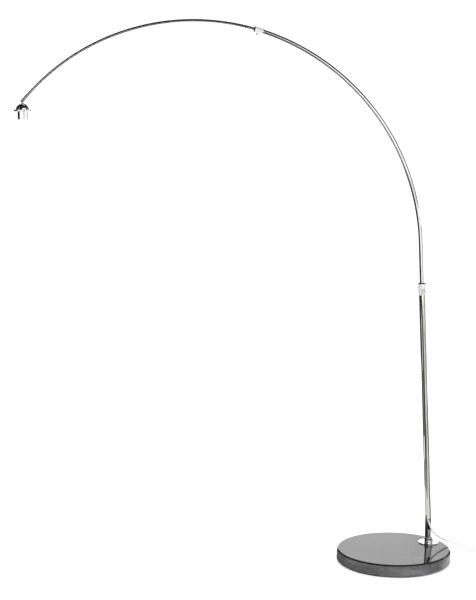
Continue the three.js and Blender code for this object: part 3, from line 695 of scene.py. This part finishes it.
mast = carved(
    softened(pipe(MAST_RADIUS, MAST_BORE, MAST_SEAT + GAP, MAST_LENGTH, 96), 0.3),
    slot_tool,
    knob_hole(),
)
mast_piece = finished(mast, "mast", "chrome", "stand", ["mast_tube"], mast_frame)
# The mast's bore is painted nearly black: painted shade inside the tube, seen through the slot.
painted_bore_shade(mast_piece, mast_frame, MAST_BORE + 0.1)

# %% [markdown]
# ## The lower collar and its knob
# The collar closes the top of the mast around the thinner shank. Its top is bevelled steeply,
# and a round knob passes through it and presses the nylon bush against the shank. The knob's
# rim is finely fluted for the fingers: the flutes are cut into a turned blank by moving every
# second ring of its verts inwards.
# %% Collar
COLLAR_RADIUS = MAST_RADIUS + 2.1
SHANK_RADIUS = 8
collar_low, collar_high = 894, 936
collar = turned([
    (MAST_RADIUS + GAP, collar_low),
    *rim(COLLAR_RADIUS, collar_low, (0.6, 0), (0.18, 0.18), (0, 0.6)),
    *rim(COLLAR_RADIUS, collar_high, (0, -3.9), (0.25, -3.3), (3.3, -0.25), (3.9, 0)),
    *rim(SHANK_RADIUS, collar_high, (-1.1, 0), (-0.8, -0.3), (-0.8, -4)),
    (MAST_BORE + GAP, collar_high - 4), (MAST_BORE + GAP, MAST_LENGTH + GAP),
    (MAST_RADIUS + GAP, MAST_LENGTH + GAP),
], 96)
collar = carved(collar, knob_hole())
collar_piece = finished(collar, "mast_collar", "chrome", "stand", ["lower_collar"], mast_frame,
                        finish="satin_chrome")
# The top of the lower collar's mouth is painted black as shade around the shank.
banded(collar_piece, mast_frame, collar_high - 3.4, "mouth_painted_shade")


# %% Fluted knob
def fluted(bm, radius, low, high, depth):
    """Presses every second row of verts inwards between two heights, as a straight knurl."""
    for vert in bm.verts:
        flat = math.hypot(vert.co.x, vert.co.y)
        if flat > radius - 0.01 and low <= vert.co.z <= high:
            count = round(math.atan2(vert.co.y, vert.co.x) / (2 * math.pi) * 96)
            if count % 2:
                vert.co.xy *= (flat - depth) / flat
    return bm


KNOB_RADIUS = 8
knob_face = COLLAR_RADIUS + 1.4
knob_end = knob_face + 9
knob = turned([
    (0, 11), (KNOB_SCREW - 0.4, 11), (KNOB_SCREW, 11.4), (KNOB_SCREW, knob_face),
    *rim(KNOB_RADIUS, knob_face, (1.1, 0), (0.5, 0.3), (0, 0.9)),
    *rim(KNOB_RADIUS, knob_end, (0, -1.3), (0.3, -0.6), (1.1, -0.1), (1.8, 0), (3.4, -0.35)),
    (0, knob_end - 0.35),
], 96)
fluted(knob, KNOB_RADIUS, knob_face + 0.8, knob_end - 1.2, 0.35)
knob_place = mast_frame @ out_of_mast(KNOB_AT)
finished(knob, "mast_knob", "chrome", "lower_knob", ["lower_lock_knob"], knob_place)

# %% [markdown]
# ## The arm
# Two lengths of tube are bent to one and the same arc, so that the thinner slides in the
# thicker. A bent tube could be a curve with a bevel, but spinning its round section about the
# centre of the bend is exactly what the bender does, and gives a true arc. The outside and
# the bore are spun one after the other, and their ends are then bridged into a closed wall.
# %% Bend a tube
STEPS_PER_DEGREE = 1.5


def bent_tube(radius, bore, start, end, straight_from=None, around=48):
    """A tube along the arc between two angles, with a straight length before it if asked."""
    bm = bmesh.new()
    ends = {"first": [], "last": []}
    angle = math.radians(start)
    at_start = shifting(
        ARM_RADIUS * (math.cos(angle) - 1), 0, SHANK_TOP + ARM_RADIUS * math.sin(angle),
    ) @ turning(-start, "Y")
    for size in (radius, bore):
        made = bmesh.ops.create_circle(bm, segments=around, radius=size, matrix=at_start)
        ring = list({edge for vert in made["verts"] for edge in vert.link_edges})
        ends["first"] += ring
        if straight_from is not None:
            bmesh.ops.translate(bm, vec=(0, 0, straight_from - SHANK_TOP), verts=made["verts"])
            grown = bmesh.ops.extrude_edge_only(bm, edges=ring)["geom"]
            top = [item for item in grown if isinstance(item, bmesh.types.BMVert)]
            bmesh.ops.translate(bm, vec=(0, 0, SHANK_TOP - straight_from), verts=top)
            ring = [item for item in grown if isinstance(item, bmesh.types.BMEdge)]
        dots = list({vert for edge in ring for vert in edge.verts})
        swept = bmesh.ops.spin(bm, geom=dots + ring, cent=(-ARM_RADIUS, 0, SHANK_TOP),
                               axis=(0, -1, 0), angle=math.radians(end - start),
                               steps=round((end - start) * STEPS_PER_DEGREE))
        ends["last"] += [item for item in swept["geom_last"] if isinstance(item, bmesh.types.BMEdge)]
    for loops in ends.values():
        bmesh.ops.bridge_loops(bm, edges=loops)
    bmesh.ops.recalc_face_normals(bm, faces=bm.faces)
    return bm


# %% Middle and upper tube
SHANK_BORE = 7.1
UPPER_RADIUS = 5.5
UPPER_BORE = 4.5
SHANK_FOOT = 600               # the shank reaches this far down into the mast
middle = softened(bent_tube(SHANK_RADIUS, SHANK_BORE, 0, MIDDLE_TUBE_END, SHANK_FOOT), 0.2, 1, 60)
finished(middle, "middle_arc", "chrome", "middle_arm", ["middle_arc_tube"], mast_frame)
upper = softened(bent_tube(UPPER_RADIUS, UPPER_BORE, UPPER_TUBE_START, UPPER_TUBE_END), 0.2, 1, 60)
finished(upper, "upper_arc", "chrome", "upper_arm", ["upper_arc_tube"], mast_frame)

# %% [markdown]
# ## The upper collar and its thumb screw
# Where the upper tube leaves the middle one sits a smaller collar, with a thumb screw below
# it that points to the inside of the arc. It locks how far the arm reaches.
# %% Upper collar
UPPER_COLLAR = SHANK_RADIUS + 2.3
ahead = 23
behind = -11
upper_collar = turned([
    (SHANK_RADIUS + GAP, behind), *rim(UPPER_COLLAR, behind, (0.5, 0), (0, 0.5)),
    *rim(UPPER_COLLAR, ahead, (0, -5), (0, -1.8), (0.25, -1.2), (1.2, -0.25), (1.8, 0)),
    *rim(UPPER_RADIUS, ahead, (-1.2, 0), (-1, -0.2), (-1, -4)),
    (SHANK_BORE - 0.1, ahead - 4), (SHANK_BORE - 0.1, GAP), (SHANK_RADIUS + GAP, GAP),
], 80)
THUMB_AT = 8
THUMB_SCREW = 2
to_thumb = shifting(z=THUMB_AT) @ turning(-90, "Y")
upper_collar = carved(upper_collar, moved(rod(THUMB_SCREW + GAP, 3, 20, 32), to_thumb))
collar_piece = finished(upper_collar, "arm_collar", "chrome", "middle_arm", ["upper_collar"],
                        collar_frame, finish="satin_chrome")
# The upper collar's mouth is painted black as shade around the upper tube.
banded(collar_piece, collar_frame, ahead - 4.6, "mouth_painted_shade")

# %% Thumb screw
head_face = UPPER_COLLAR + GAP
head_end = UPPER_COLLAR + 6.5
THUMB_RADIUS = 3.5
thumb = turned([
    (0, 7), (THUMB_SCREW - 0.3, 7), (THUMB_SCREW, 7.3), (THUMB_SCREW, head_face),
    *rim(THUMB_RADIUS, head_face, (0.5, 0), (0, 0.5)),
    *rim(THUMB_RADIUS, head_end, (0, -0.7), (0.6, -0.1), (1.1, 0)), (0, head_end),
], 96)
fluted(thumb, THUMB_RADIUS, head_face + 0.4, head_end - 0.6, 0.16)
thumb_place = collar_frame @ to_thumb
finished(thumb, "arm_thumb_screw", "chrome", "upper_knob", ["upper_lock_screw"], thumb_place)

# %% [markdown]
# ## The tip sleeve and the knuckle
# A short sleeve is pressed over the end of the arm. Its end is slotted into a fork, and a
# screw through the fork carries the eye that the head hangs from, so the head always swings
# down plumb. The sleeve is turned, rounded at its end where the fork's cheeks are, and slotted.
# %% Tip sleeve
SLEEVE_RADIUS = UPPER_RADIUS + 0.8
FORK_FLOOR = 24.5
sleeve_end = PIN_ALONG + SLEEVE_RADIUS
across = turning(-90, "X")
at_pin = shifting(z=PIN_ALONG) @ across
PIN_RADIUS = 1.5
sleeve_blank = turned([
    (0, 0), *rim(SLEEVE_RADIUS, 0, (0.5, 0), (0, 0.5), (0, sleeve_end + 1)), (0, sleeve_end + 1),
], 80)
cheeks = carved(
    block((-9, 9), (-9, 9), (PIN_ALONG, sleeve_end + 3)),
    moved(rod(SLEEVE_RADIUS, -12, 12, 80), at_pin),
)
sleeve = carved(
    sleeve_blank,
    cheeks,
    rod(UPPER_RADIUS + GAP, -1, 12),
    rod(CORD_RADIUS + GAP, 5, FORK_FLOOR + 1),
    block((-12, 12), (-2.5, 2.5), (FORK_FLOOR, sleeve_end + 3)),
    moved(rod(PIN_RADIUS + GAP, -12, 12, 32), at_pin),
)
finished(sleeve, "tip_fork", "chrome", "upper_arm", ["tip_sleeve"], tip_frame)

# %% Knuckle screw and nut
CHEEK = SLEEVE_RADIUS + GAP
knuckle_screw = turned([
    (0, -CHEEK - 2.2), *rim(PIN_RADIUS, -CHEEK, (0.3, -2.2), (0, -1.9)), (PIN_RADIUS, CHEEK),
    *rim(2.9, CHEEK, (0.2, 0), (0, 0.2), (0, 1.2), (0.3, 1.7), (0.9, 2)), (0, CHEEK + 2.05),
], 48)
knuckle_screw = carved(knuckle_screw, block((-4, 4), (-0.35, 0.35), (CHEEK + 1.1, CHEEK + 4)))
pin_place = tip_frame @ shifting(z=PIN_ALONG) @ turning(90, "X")
finished(knuckle_screw, "pin_screw", "steel", "upper_arm", ["knuckle_screw"], pin_place)
knuckle_nut = softened(rod(5 / math.sqrt(3), CHEEK, CHEEK + 1.8, 6), 0.2, 2)
knuckle_nut = carved(knuckle_nut, rod(PIN_RADIUS + GAP, 0, CHEEK + 4, 32))
finished(knuckle_nut, "pin_nut", "steel", "upper_arm", ["knuckle_nut"], tip_frame @ at_pin)

# %% [markdown]
# ## The head
# Below the knuckle hang a swivel eye and a threaded nipple, a pressed dome that hides the
# wiring, a loose ring that clamps a shade, and a sleeve around the lampholder. All of them
# are drawn about the plumb line through the pin, with heights counted down from it.
# %% Swivel eye and nipple nut
NIPPLE_RADIUS = 5
NIPPLE_TOP, NIPPLE_BOTTOM = -7.2, -21
TONGUE_RADIUS, TONGUE_HALF = 4.2, 2.2
tongue = carved(
    moved(rod(TONGUE_RADIUS, -TONGUE_HALF, TONGUE_HALF, 64), across),
    block((-TONGUE_RADIUS, TONGUE_RADIUS), (-TONGUE_HALF, TONGUE_HALF), (NIPPLE_TOP - 0.6, 0)),
    joining=True,
)
THREAD = 1.0                   # pitch of the nipple's thread
nipple_outline = [(0, NIPPLE_BOTTOM)]
ridges = int((NIPPLE_TOP - NIPPLE_BOTTOM - 1) / THREAD)
for ridge in range(ridges):
    low = NIPPLE_BOTTOM + ridge * THREAD
    nipple_outline += [(NIPPLE_RADIUS - 0.45, low), (NIPPLE_RADIUS, low + THREAD / 2)]
nipple_outline += [(NIPPLE_RADIUS - 0.45, NIPPLE_TOP - 0.9), (NIPPLE_RADIUS, NIPPLE_TOP - 0.5),
                   (NIPPLE_RADIUS, NIPPLE_TOP), (0, NIPPLE_TOP)]
WIRE_WAY, WIRE_EXIT = 2.4, 1.5
eye = carved(tongue, turned(nipple_outline, 64), joining=True)
eye = carved(
    eye,
    moved(rod(PIN_RADIUS + GAP, -12, 12, 32), across),
    rod(WIRE_WAY, NIPPLE_BOTTOM - 3, NIPPLE_TOP - 2.6, 32),
    moved(rod(WIRE_EXIT, 0, 12, 24), shifting(z=NIPPLE_TOP - 2.9) @ turning(90, "Y")),
)
finished(eye, "nipple_eye", "chrome", "head", ["swivel_eye"], head_frame)
CAP_TOP, CAP_BOTTOM, WALL = -9.2, -30.2, 1.2
nut_top = CAP_TOP - WALL - 1.5
nut = softened(rod(13 / math.sqrt(3), nut_top - 3, nut_top, 6), 0.35, 2)
nut = carved(nut, rod(NIPPLE_RADIUS + GAP, -40, 0))
finished(nut, "lock_nut", "brass", "head", ["nipple_nut"], head_frame)


# %% Dome
def quarter_ellipse(radius, top, bottom, steps=20):
    """Points from the rim of a dome up to its crown."""
    angles = [math.pi / 2 * step / steps for step in range(steps + 1)]
    return [(radius * math.cos(a), bottom + (top - bottom) * math.sin(a)) for a in angles]


CAP_RADIUS = 24
HOLE = NIPPLE_RADIUS + GAP


def dome_side(thinner):
    """One side of the dome, from its rim to the hole in its crown."""
    wide, top = CAP_RADIUS - thinner, CAP_TOP - thinner
    side = [(r, z) for r, z in quarter_ellipse(wide, top, CAP_BOTTOM) if r > HOLE]
    return side + [(HOLE, CAP_BOTTOM + (top - CAP_BOTTOM) * math.sqrt(1 - (HOLE / wide) ** 2))]


cap = softened(turned(dome_side(0) + dome_side(WALL)[::-1], 96), 0.25, 2, 50)
finished(cap, "dome_cap", "chrome", "head", ["lampholder_cap"], head_frame)

# %% Ring and sleeve
RING_RADIUS = 31
HOLDER_RADIUS = 18
ring_top = CAP_BOTTOM - GAP
bore = HOLDER_RADIUS + GAP
shade_nut = turned([
    *rim(bore, ring_top, (0, -0.2), (-0.2, 0)),
    *rim(RING_RADIUS, ring_top, (1, 0), (0.3, -0.3), (0, -1), (0, -4.8), (0.3, -5.5),
         (0.9, -5.8), (2.4, -5.8), (2.8, -2.4)),
    *rim(bore, ring_top, (-3.6, -2.5), (-3.1, -2.9), (-3, -5.4), (-2.6, -5.8), (-0.3, -5.8),
         (0, -5.5)),
], 96)
finished(shade_nut, "shade_nut", "chrome", "ring", ["shade_ring"], head_frame)
HOLDER_TOP, HOLDER_BOTTOM = -21.5, -65.2
holder = softened(pipe(HOLDER_RADIUS, HOLDER_RADIUS - WALL, HOLDER_BOTTOM, HOLDER_TOP, 96), 0.3)
finished(holder, "holder_sleeve", "chrome", "head", ["lampholder_sleeve"], head_frame)

# %% [markdown]
# ### Inside the lampholder
# A steatite insert carries the brass screw shell and the contacts. The shell's thread is
# rolled from thin sheet, so it waves on both sides. Its verts are moved in and out by a sine
# that also turns with the angle, which makes the wave a true helix.
# %% Ceramic insert
INSERT_TOP, INSERT_BOTTOM, INSERT_FLOOR = -26, -52, 6
SHELL_RADIUS = 13.6
SHELL_WALL = 0.5
TERMINAL = 9                   # the terminals' distance from the middle
TERMINAL_WELL = 1.8
insert = softened(rod(HOLDER_RADIUS - WALL - GAP, INSERT_BOTTOM, INSERT_TOP, 80), 0.5, 2)
insert = carved(
    insert,
    rod(SHELL_RADIUS + SHELL_WALL + GAP, INSERT_BOTTOM - 2, INSERT_TOP - INSERT_FLOOR, 80),
    *[moved(rod(TERMINAL_WELL, INSERT_TOP - 4, INSERT_TOP + 2, 24), shifting(side * TERMINAL))
      for side in (-1, 1)],
)
finished(insert, "steatite_insert", "ceramic", "head", ["ceramic_insert"], head_frame)

# %% Threaded shell
shell_top = INSERT_TOP - INSERT_FLOOR - GAP
SHELL_BOTTOM = -58
PITCH = 3.6
WAVE = 0.2
rows_up = 84
heights = [SHELL_BOTTOM + (shell_top - SHELL_BOTTOM) * row / rows_up for row in range(rows_up + 1)]
shell = turned([(SHELL_RADIUS + SHELL_WALL - WAVE, z) for z in heights]
               + [(SHELL_RADIUS - WAVE, z) for z in reversed(heights)], 72)
for vert in shell.verts:
    turn = math.atan2(vert.co.y, vert.co.x) / (2 * math.pi)
    from_end = min(vert.co.z - SHELL_BOTTOM, shell_top - vert.co.z)
    fade = min(1.0, from_end / PITCH)
    wave = WAVE * fade * math.sin(2 * math.pi * (vert.co.z / PITCH - turn))
    vert.co.xy *= 1 + wave / math.hypot(vert.co.x, vert.co.y)
finished(shell, "thread_shell", "brass", "head", ["screw_shell"], head_frame, 60)

# %% [markdown]
# ## The cord's fittings
# A tapered relief guards the cord where it leaves the mast, ribbed so that it bends evenly.
# The foot switch is a low moulded box with round ends and one large button, and the plug is a
# plain two-pin one whose body tapers towards the cord, with a relief behind it.
# %% Strain relief
GRIP = CORD_RADIUS - 0.4        # a relief grips the soft cord this closely
RELIEF_RADIUS = 3.5
RIBS = 7
relief_outline = [(GRIP, -5), (RELIEF_RADIUS, -5)]
for rib in range(RIBS):
    start = 1.5 + rib * 2.3
    outer = RELIEF_RADIUS - 0.3 * (rib + 1) / RIBS
    relief_outline += rim(outer, start, (0, 0), (0.16, 0.25), (0.16, 0.7), (0.02, 0.95))
relief_outline += [(3.15, 18), (GRIP, 18)]
towards_floor = exit_along.to_track_quat("Z", "Y").to_matrix().to_4x4()
along_exit = Matrix.Translation(exit_from) @ towards_floor
finished(turned(relief_outline, 48), "exit_relief", "cord", "stand", ["cord_strain_relief"], along_exit)

# %% Foot switch
at_switch = Matrix.Translation(SWITCH_AT)
BUTTON_RADIUS = 12
PLATE_LOW, PLATE_HIGH, COVER_TOP = 0.2, 4, 17
COVER_WALL, COVER_ROOF = 4.5, 2
base_plate = softened(stadium(SWITCH_LENGTH, SWITCH_WIDTH, PLATE_LOW, PLATE_HIGH, 96), 0.6, 2)
finished(base_plate, "switch_plate", "white_plastic", "stand", ["switch_base"], at_switch)
cover = stadium(SWITCH_LENGTH, SWITCH_WIDTH, PLATE_HIGH + GAP, COVER_TOP, 96)
top_rim = [edge for edge in cover.edges if all(vert.co.z > COVER_TOP - 1 for vert in edge.verts)]
rounded(cover, top_rim, 3.4, 6)
cover = carved(
    cover,
    stadium(SWITCH_LENGTH - 2 * COVER_WALL, SWITCH_WIDTH - 2 * COVER_WALL,
            -2, COVER_TOP - COVER_ROOF, 96),
    rod(BUTTON_RADIUS + GAP, 5, 30, 96),
    moved(rod(CORD_RADIUS + GAP, -60, 60, 32), shifting(z=INLET) @ turning(90, "Y")),
)
finished(cover, "switch_shell", "white_plastic", "stand", ["switch_cover"], at_switch)
button_low = spot("switch_button", "low").z
button_top = spot("switch_button", "high").z
button = turned([
    (0, button_low), *rim(BUTTON_RADIUS, button_low, (0.3, 0), (0, 0.3)),
    *rim(BUTTON_RADIUS, button_top, (0, -1.9), (0.4, -0.8), (1.4, -0.15), (2.4, 0), (4.5, -0.3),
         (8, -0.75)), (0, button_top - 0.9),
], 96)
BUTTON_TRAVEL = 3
straddle = CORD_RADIUS + 2 * GAP      # a channel under the button clears the cord
button = carved(button, block(
    (-BUTTON_RADIUS - 1, BUTTON_RADIUS + 1), (-straddle, straddle),
    (button_low - 1, INLET + straddle + BUTTON_TRAVEL)))
finished(button, "switch_press", "white_plastic", "foot_button", ["switch_button"], at_switch)

# %% [markdown]
# ### Ties and plug
# Two flat ties hold the coil. Each is a rounded frame around the winding, made from a box
# whose two open sides are taken off before the wall is given its thickness.
# %% Ties
TIE_THICKNESS = 1
WOUND = 3 * LAYER              # the winding is three cords wide and three high
around = GAP + TIE_THICKNESS
for number, direction in ((1, 20), (2, 200)):
    tie = block((COIL_MIDDLE - WOUND / 2 - around, COIL_MIDDLE + WOUND / 2 + around), (-2.5, 2.5),
                (COIL_UNDERSIDE - around, COIL_UNDERSIDE + WOUND + around))
    corners = [edge for edge in tie.edges if abs(edge.verts[0].co.y - edge.verts[1].co.y) > 1]
    rounded(tie, corners, 1.6, 4)
    open_sides = [face for face in tie.faces if abs(face.normal.y) > 0.9]
    bmesh.ops.delete(tie, geom=open_sides, context="FACES_ONLY")
    bmesh.ops.solidify(tie, geom=tie.faces[:], thickness=TIE_THICKNESS)
    bmesh.ops.recalc_face_normals(tie, faces=tie.faces)
    place = Matrix.Translation(COIL_AT) @ turning(direction, "Z")
    finished(softened(tie, 0.15, 1, 60), f"coil_tie_{number}", "white_plastic", "stand",
             [f"cord_tie_{number}"], place)

# %% Plug
PLUG_LENGTH, PLUG_WIDTH, PLUG_THICKNESS = 36, 26, 13.6
PLUG_RELIEF = 24
NECK = 0.42                    # the neck's share of the full width
PRONG_RADIUS, PRONG_AT = 2, 9.3
plug_frame = shifting(PLUG_BACK, TAIL_Y, PLUG_THICKNESS / 2 + 0.2) @ turning(180, "Z")
lie_along = turning(90, "Y")
sleeve_outline = [(GRIP, 0), (CORD_RADIUS + 0.6, 0)]
GROOVES = 8
for groove in range(GROOVES):
    start = 1.6 + groove * 2.6
    outer = CORD_RADIUS + 0.6 + 1.4 * start / PLUG_RELIEF
    sleeve_outline += rim(outer, start, (0, 0), (0.45, 0.3), (0.45, 1.0), (0, 1.3))
sleeve_outline += [(CORD_RADIUS + 2, PLUG_RELIEF - GAP), (GRIP, PLUG_RELIEF - GAP)]
finished(turned(sleeve_outline, 48), "plug_sleeve", "white_plastic", "stand", ["plug_relief"],
         plug_frame @ lie_along)
body = block((0, PLUG_LENGTH), (-PLUG_WIDTH / 2, PLUG_WIDTH / 2),
             (-PLUG_THICKNESS / 2, PLUG_THICKNESS / 2))
bmesh.ops.bisect_plane(body, geom=body.verts[:] + body.edges[:] + body.faces[:],
                       plane_co=(PLUG_LENGTH * 0.4, 0, 0), plane_no=(1, 0, 0))
for vert in body.verts:
    if vert.co.x < 1:
        vert.co.y *= NECK
softened(body, 2.2, 4, 40)
pin_holes = [moved(rod(PRONG_RADIUS + GAP, PLUG_LENGTH - 8, PLUG_LENGTH + 2, 32),
                   shifting(y=side * PRONG_AT) @ lie_along) for side in (-1, 1)]
body = moved(carved(body, *pin_holes), shifting(PLUG_RELIEF))
finished(body, "plug_grip", "white_plastic", "stand", ["plug_body"], plug_frame)
for number, side in ((1, -1), (2, 1)):
    pin = turned([(0, -7), *rim(PRONG_RADIUS, 0, (0, -7), (0, 17.6), (0.2, 18.4), (0.8, 18.9)),
                  (0, 19)], 32)
    place = plug_frame @ shifting(PLUG_RELIEF + PLUG_LENGTH, side * PRONG_AT) @ lie_along
    finished(pin, f"plug_prong_{number}", "brass", "stand", [f"plug_pin_{number}"], place)

# %% [markdown]
# ## Declaring the cord
# The curve takes the place of the four stretches of cord in the frame. Its length is the real
# length from the mast to the plug.
curve.materials.append(FINISHES["cord"])
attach(supply_cord, "stand")
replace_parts(supply_cord, "cord_to_switch", "cord_to_coil", "cord_coil", "cord_to_plug")

# %% [markdown]
# ## The pieces inside
# Bushes, guides, the bolt under the base, the contacts and the leads already have the right
# shape in the frame. They keep it, and only take on their finish.
# %% Finish what stays
replaced = {name for made in MADE + [supply_cord] for name in made.get("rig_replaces", [])}
INSIDE = {
    "steel": ["base_washer", "base_bolt"],
    "nylon": ["lower_bush", "shank_guide", "upper_bush", "upper_guide", "switch_contacts"],
    "cord": ["mast_cable", "middle_cable", "upper_cable"],
    "brass": ["centre_contact", "side_contact", "terminal_screw_live", "terminal_screw_neutral"],
    "live_wire": ["live_lead"],
    "neutral_wire": ["neutral_lead"],
}
for slot_name, names in INSIDE.items():
    for name in names:
        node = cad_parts[name]
        node.data.materials.clear()
        node.data.materials.append(FINISHES[slot_name])
kept = {name for names in INSIDE.values() for name in names}
left_over = sorted(set(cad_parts) - replaced - kept)
print("nodes without a finish:", left_over)

# %% [markdown]
# ## The studio
# The lamp stands on a pale floor in an even white light. Chrome shows nothing but its
# surroundings, so a photographer hangs dark flags beside and above the lamp, out of the
# picture: each draws one dark line down every tube, and it is these lines that make the tubes
# look round. The flags are seen only in reflections and cast no shadow. The floor glows a
# little, which keeps it white right up to the foot of the lamp.
# %% Light and floor
world = bpy.data.worlds.new("studio")
scene.world = world
world.use_nodes = True
world.node_tree.nodes["Background"].inputs["Color"].default_value = (1, 1, 1, 1)
world.node_tree.nodes["Background"].inputs["Strength"].default_value = 1.15
scene.view_settings.view_transform = "Standard"
new_finish("floor_paint", (0.93, 0.93, 0.93), 0.9, Specular_IOR_Level=0.2,
           Emission_Color=(1, 1, 1, 1), Emission_Strength=0.45)


def studio_piece(name, bm, material):
    """Something in metres that belongs to the studio and not to the lamp."""
    made = as_object(bm, name)
    made.data.materials.append(material)
    return made


floor = bmesh.new()
bmesh.ops.create_grid(floor, x_segments=1, y_segments=1, size=30, matrix=shifting(z=-0.0005))
studio_piece("floor", floor, FINISHES["floor_paint"])

# %% [markdown]
# Each flag is one line spun about the foot of the mast, from one direction to another: a
# standing line makes a wall, a lying one makes a fan on the floor or a roof, and a slanting
# one closes the gap between the two. Directions are counted in degrees from the front, with
# the lamp's right side positive. A grey flag is one that glows a little, warm and uneven, as
# cloth and card do: an even grey would make the tubes look painted.
# %% Flags
WARM = (1.0, 0.97, 0.88, 1.0)


def shining(name, strength, colour=WARM, spread=0.4):
    """A patchy glow of that strength; with nought it is a black flag."""
    material = bpy.data.materials.new(name)
    material.use_nodes = True
    tree = material.node_tree
    tree.nodes.remove(tree.nodes["Principled BSDF"])
    patches = between(tree, speckle(tree, 0.9, 4, 0.6), (1 - spread) * strength,
                      (1 + spread) * strength, 0.4, 0.6)
    light = add(tree, "Emission", Color=colour, Strength=patches)
    tree.links.new(light.outputs["Emission"], tree.nodes["Material Output"].inputs["Surface"])
    return material


def flag(name, directions, inner, outer, strength, **glow):
    """A flag from an inner to an outer (distance, height) in metres."""
    first, last = (math.radians(direction - 90) for direction in directions)
    x, y = foot.x * MM, foot.y * MM
    bm = bmesh.new()
    ends = [bm.verts.new((x + distance * math.cos(first), y + distance * math.sin(first), height))
            for distance, height in (inner, outer)]
    bmesh.ops.spin(bm, geom=ends + [bm.edges.new(ends)], cent=(x, y, 0), axis=(0, 0, 1),
                   angle=last - first, steps=12)
    made = studio_piece(name, bm, shining(name, strength, **glow))
    made.visible_camera = made.visible_diffuse = False
    made.visible_shadow = made.visible_transmission = False


LOW = 0.002                    # a flag on the floor lies this high
WALL_AT = 3.4
STEP_AT = 5.5
ROOF_HEIGHT = 6.5
FANS = {                       # first and last direction, near and far distance, strength
    "left_foot": (-100, -32, 0.3, 0.43, 0.1),
    "left_near": (-100, -47, 0.43, 0.85, 0.6),
    "left_middle": (-100, -47, 0.85, 1.3, 0.32),
    "left_far": (-100, -62, 1.3, WALL_AT, 0.08),
    "left_outer": (-62, -47, 1.7, WALL_AT, 0.1),
    "left_seam_near": (-47, -32, 0.43, 0.85, 0.6),
    "left_seam": (-47, -32, 0.85, WALL_AT, 0.26),
    "front_near": (-32, 12, 0.35, 0.8, 0.5),
    "front_middle": (-32, 12, 0.8, 1.3, 0.22),
    "front_far": (-32, 12, 1.3, 7.0, 0.05),
    "foot_floor": (12, 108, 0.2, 0.48, 0.2),
    "core_floor": (12, 64, 0.48, 7.0, 0.62),
    "right_floor": (64, 108, 0.48, WALL_AT, 0.12),
    "right_edge": (108, 134, 0.35, WALL_AT, 0.7),
}
WALLS = {                      # first and last direction, distance, low and high edge, strength
    "left_wall": (-118, -40, WALL_AT, LOW, 0.7, 0.05),
    "left_upper_wall": (-158, -56, WALL_AT, 0.7, 1.35, 0.03),
    "left_high_wall": (-158, -70, WALL_AT, 1.35, 4.2, 0.02),
    "front_low_wall": (-60, -8, STEP_AT, LOW, 0.55, 0.02),
    "front_step": (-18, -8, STEP_AT, 0.55, 1.36, 0.02),
    "front_wall": (-60, -6, STEP_AT, 1.66, 6.5, 0.0),
    "core_wall": (12, 64, 7.0, LOW, 2.6, 0.85),
    "right_wall": (64, 108, WALL_AT, LOW, 1.3, 0.22),
    "right_upper_wall": (62, 150, WALL_AT, 1.7, 2.8, 0.25),
    "right_high_wall": (62, 158, WALL_AT, 2.8, 4.4, 0.12),
    "back_left": (-152, -136, 4.5, LOW, 4.0, 0.1),
    "back_right": (138, 173, 4.5, LOW, 4.5, 0.12),
}
for flag_name, (first, last, near, far, strength) in FANS.items():
    flag("flag_" + flag_name, (first, last), (near, LOW), (far, LOW), strength)
for flag_name, (first, last, distance, low, high, strength) in WALLS.items():
    flag("flag_" + flag_name, (first, last), (distance, low), (distance, high), strength)
flag("flag_roof", (-180, 180), (0.05, ROOF_HEIGHT), (7.5, ROOF_HEIGHT), 0.02)
flag("flag_roof_behind", (-158, -110), (7.5, ROOF_HEIGHT), (7.5, 3.5), 0.02)
print("fans, walls and roofs:", len(FANS), len(WALLS), 2)

# %% [markdown]
# A bright wall stands low behind the lamp, and the polished stone mirrors it: it is what
# makes the black top look silver at a low angle. It is almost even and has no tint, because
# the mirror shows it large.
# %% Bright wall
WHITE = (1.0, 1.0, 1.0, 1.0)
BRIGHT_AT = 8.0
flag("bright_wall", (158, 202), (BRIGHT_AT, 0.3), (BRIGHT_AT, 4.4), 1.6, colour=WHITE, spread=0.05)
print("bright wall at", BRIGHT_AT, "m")
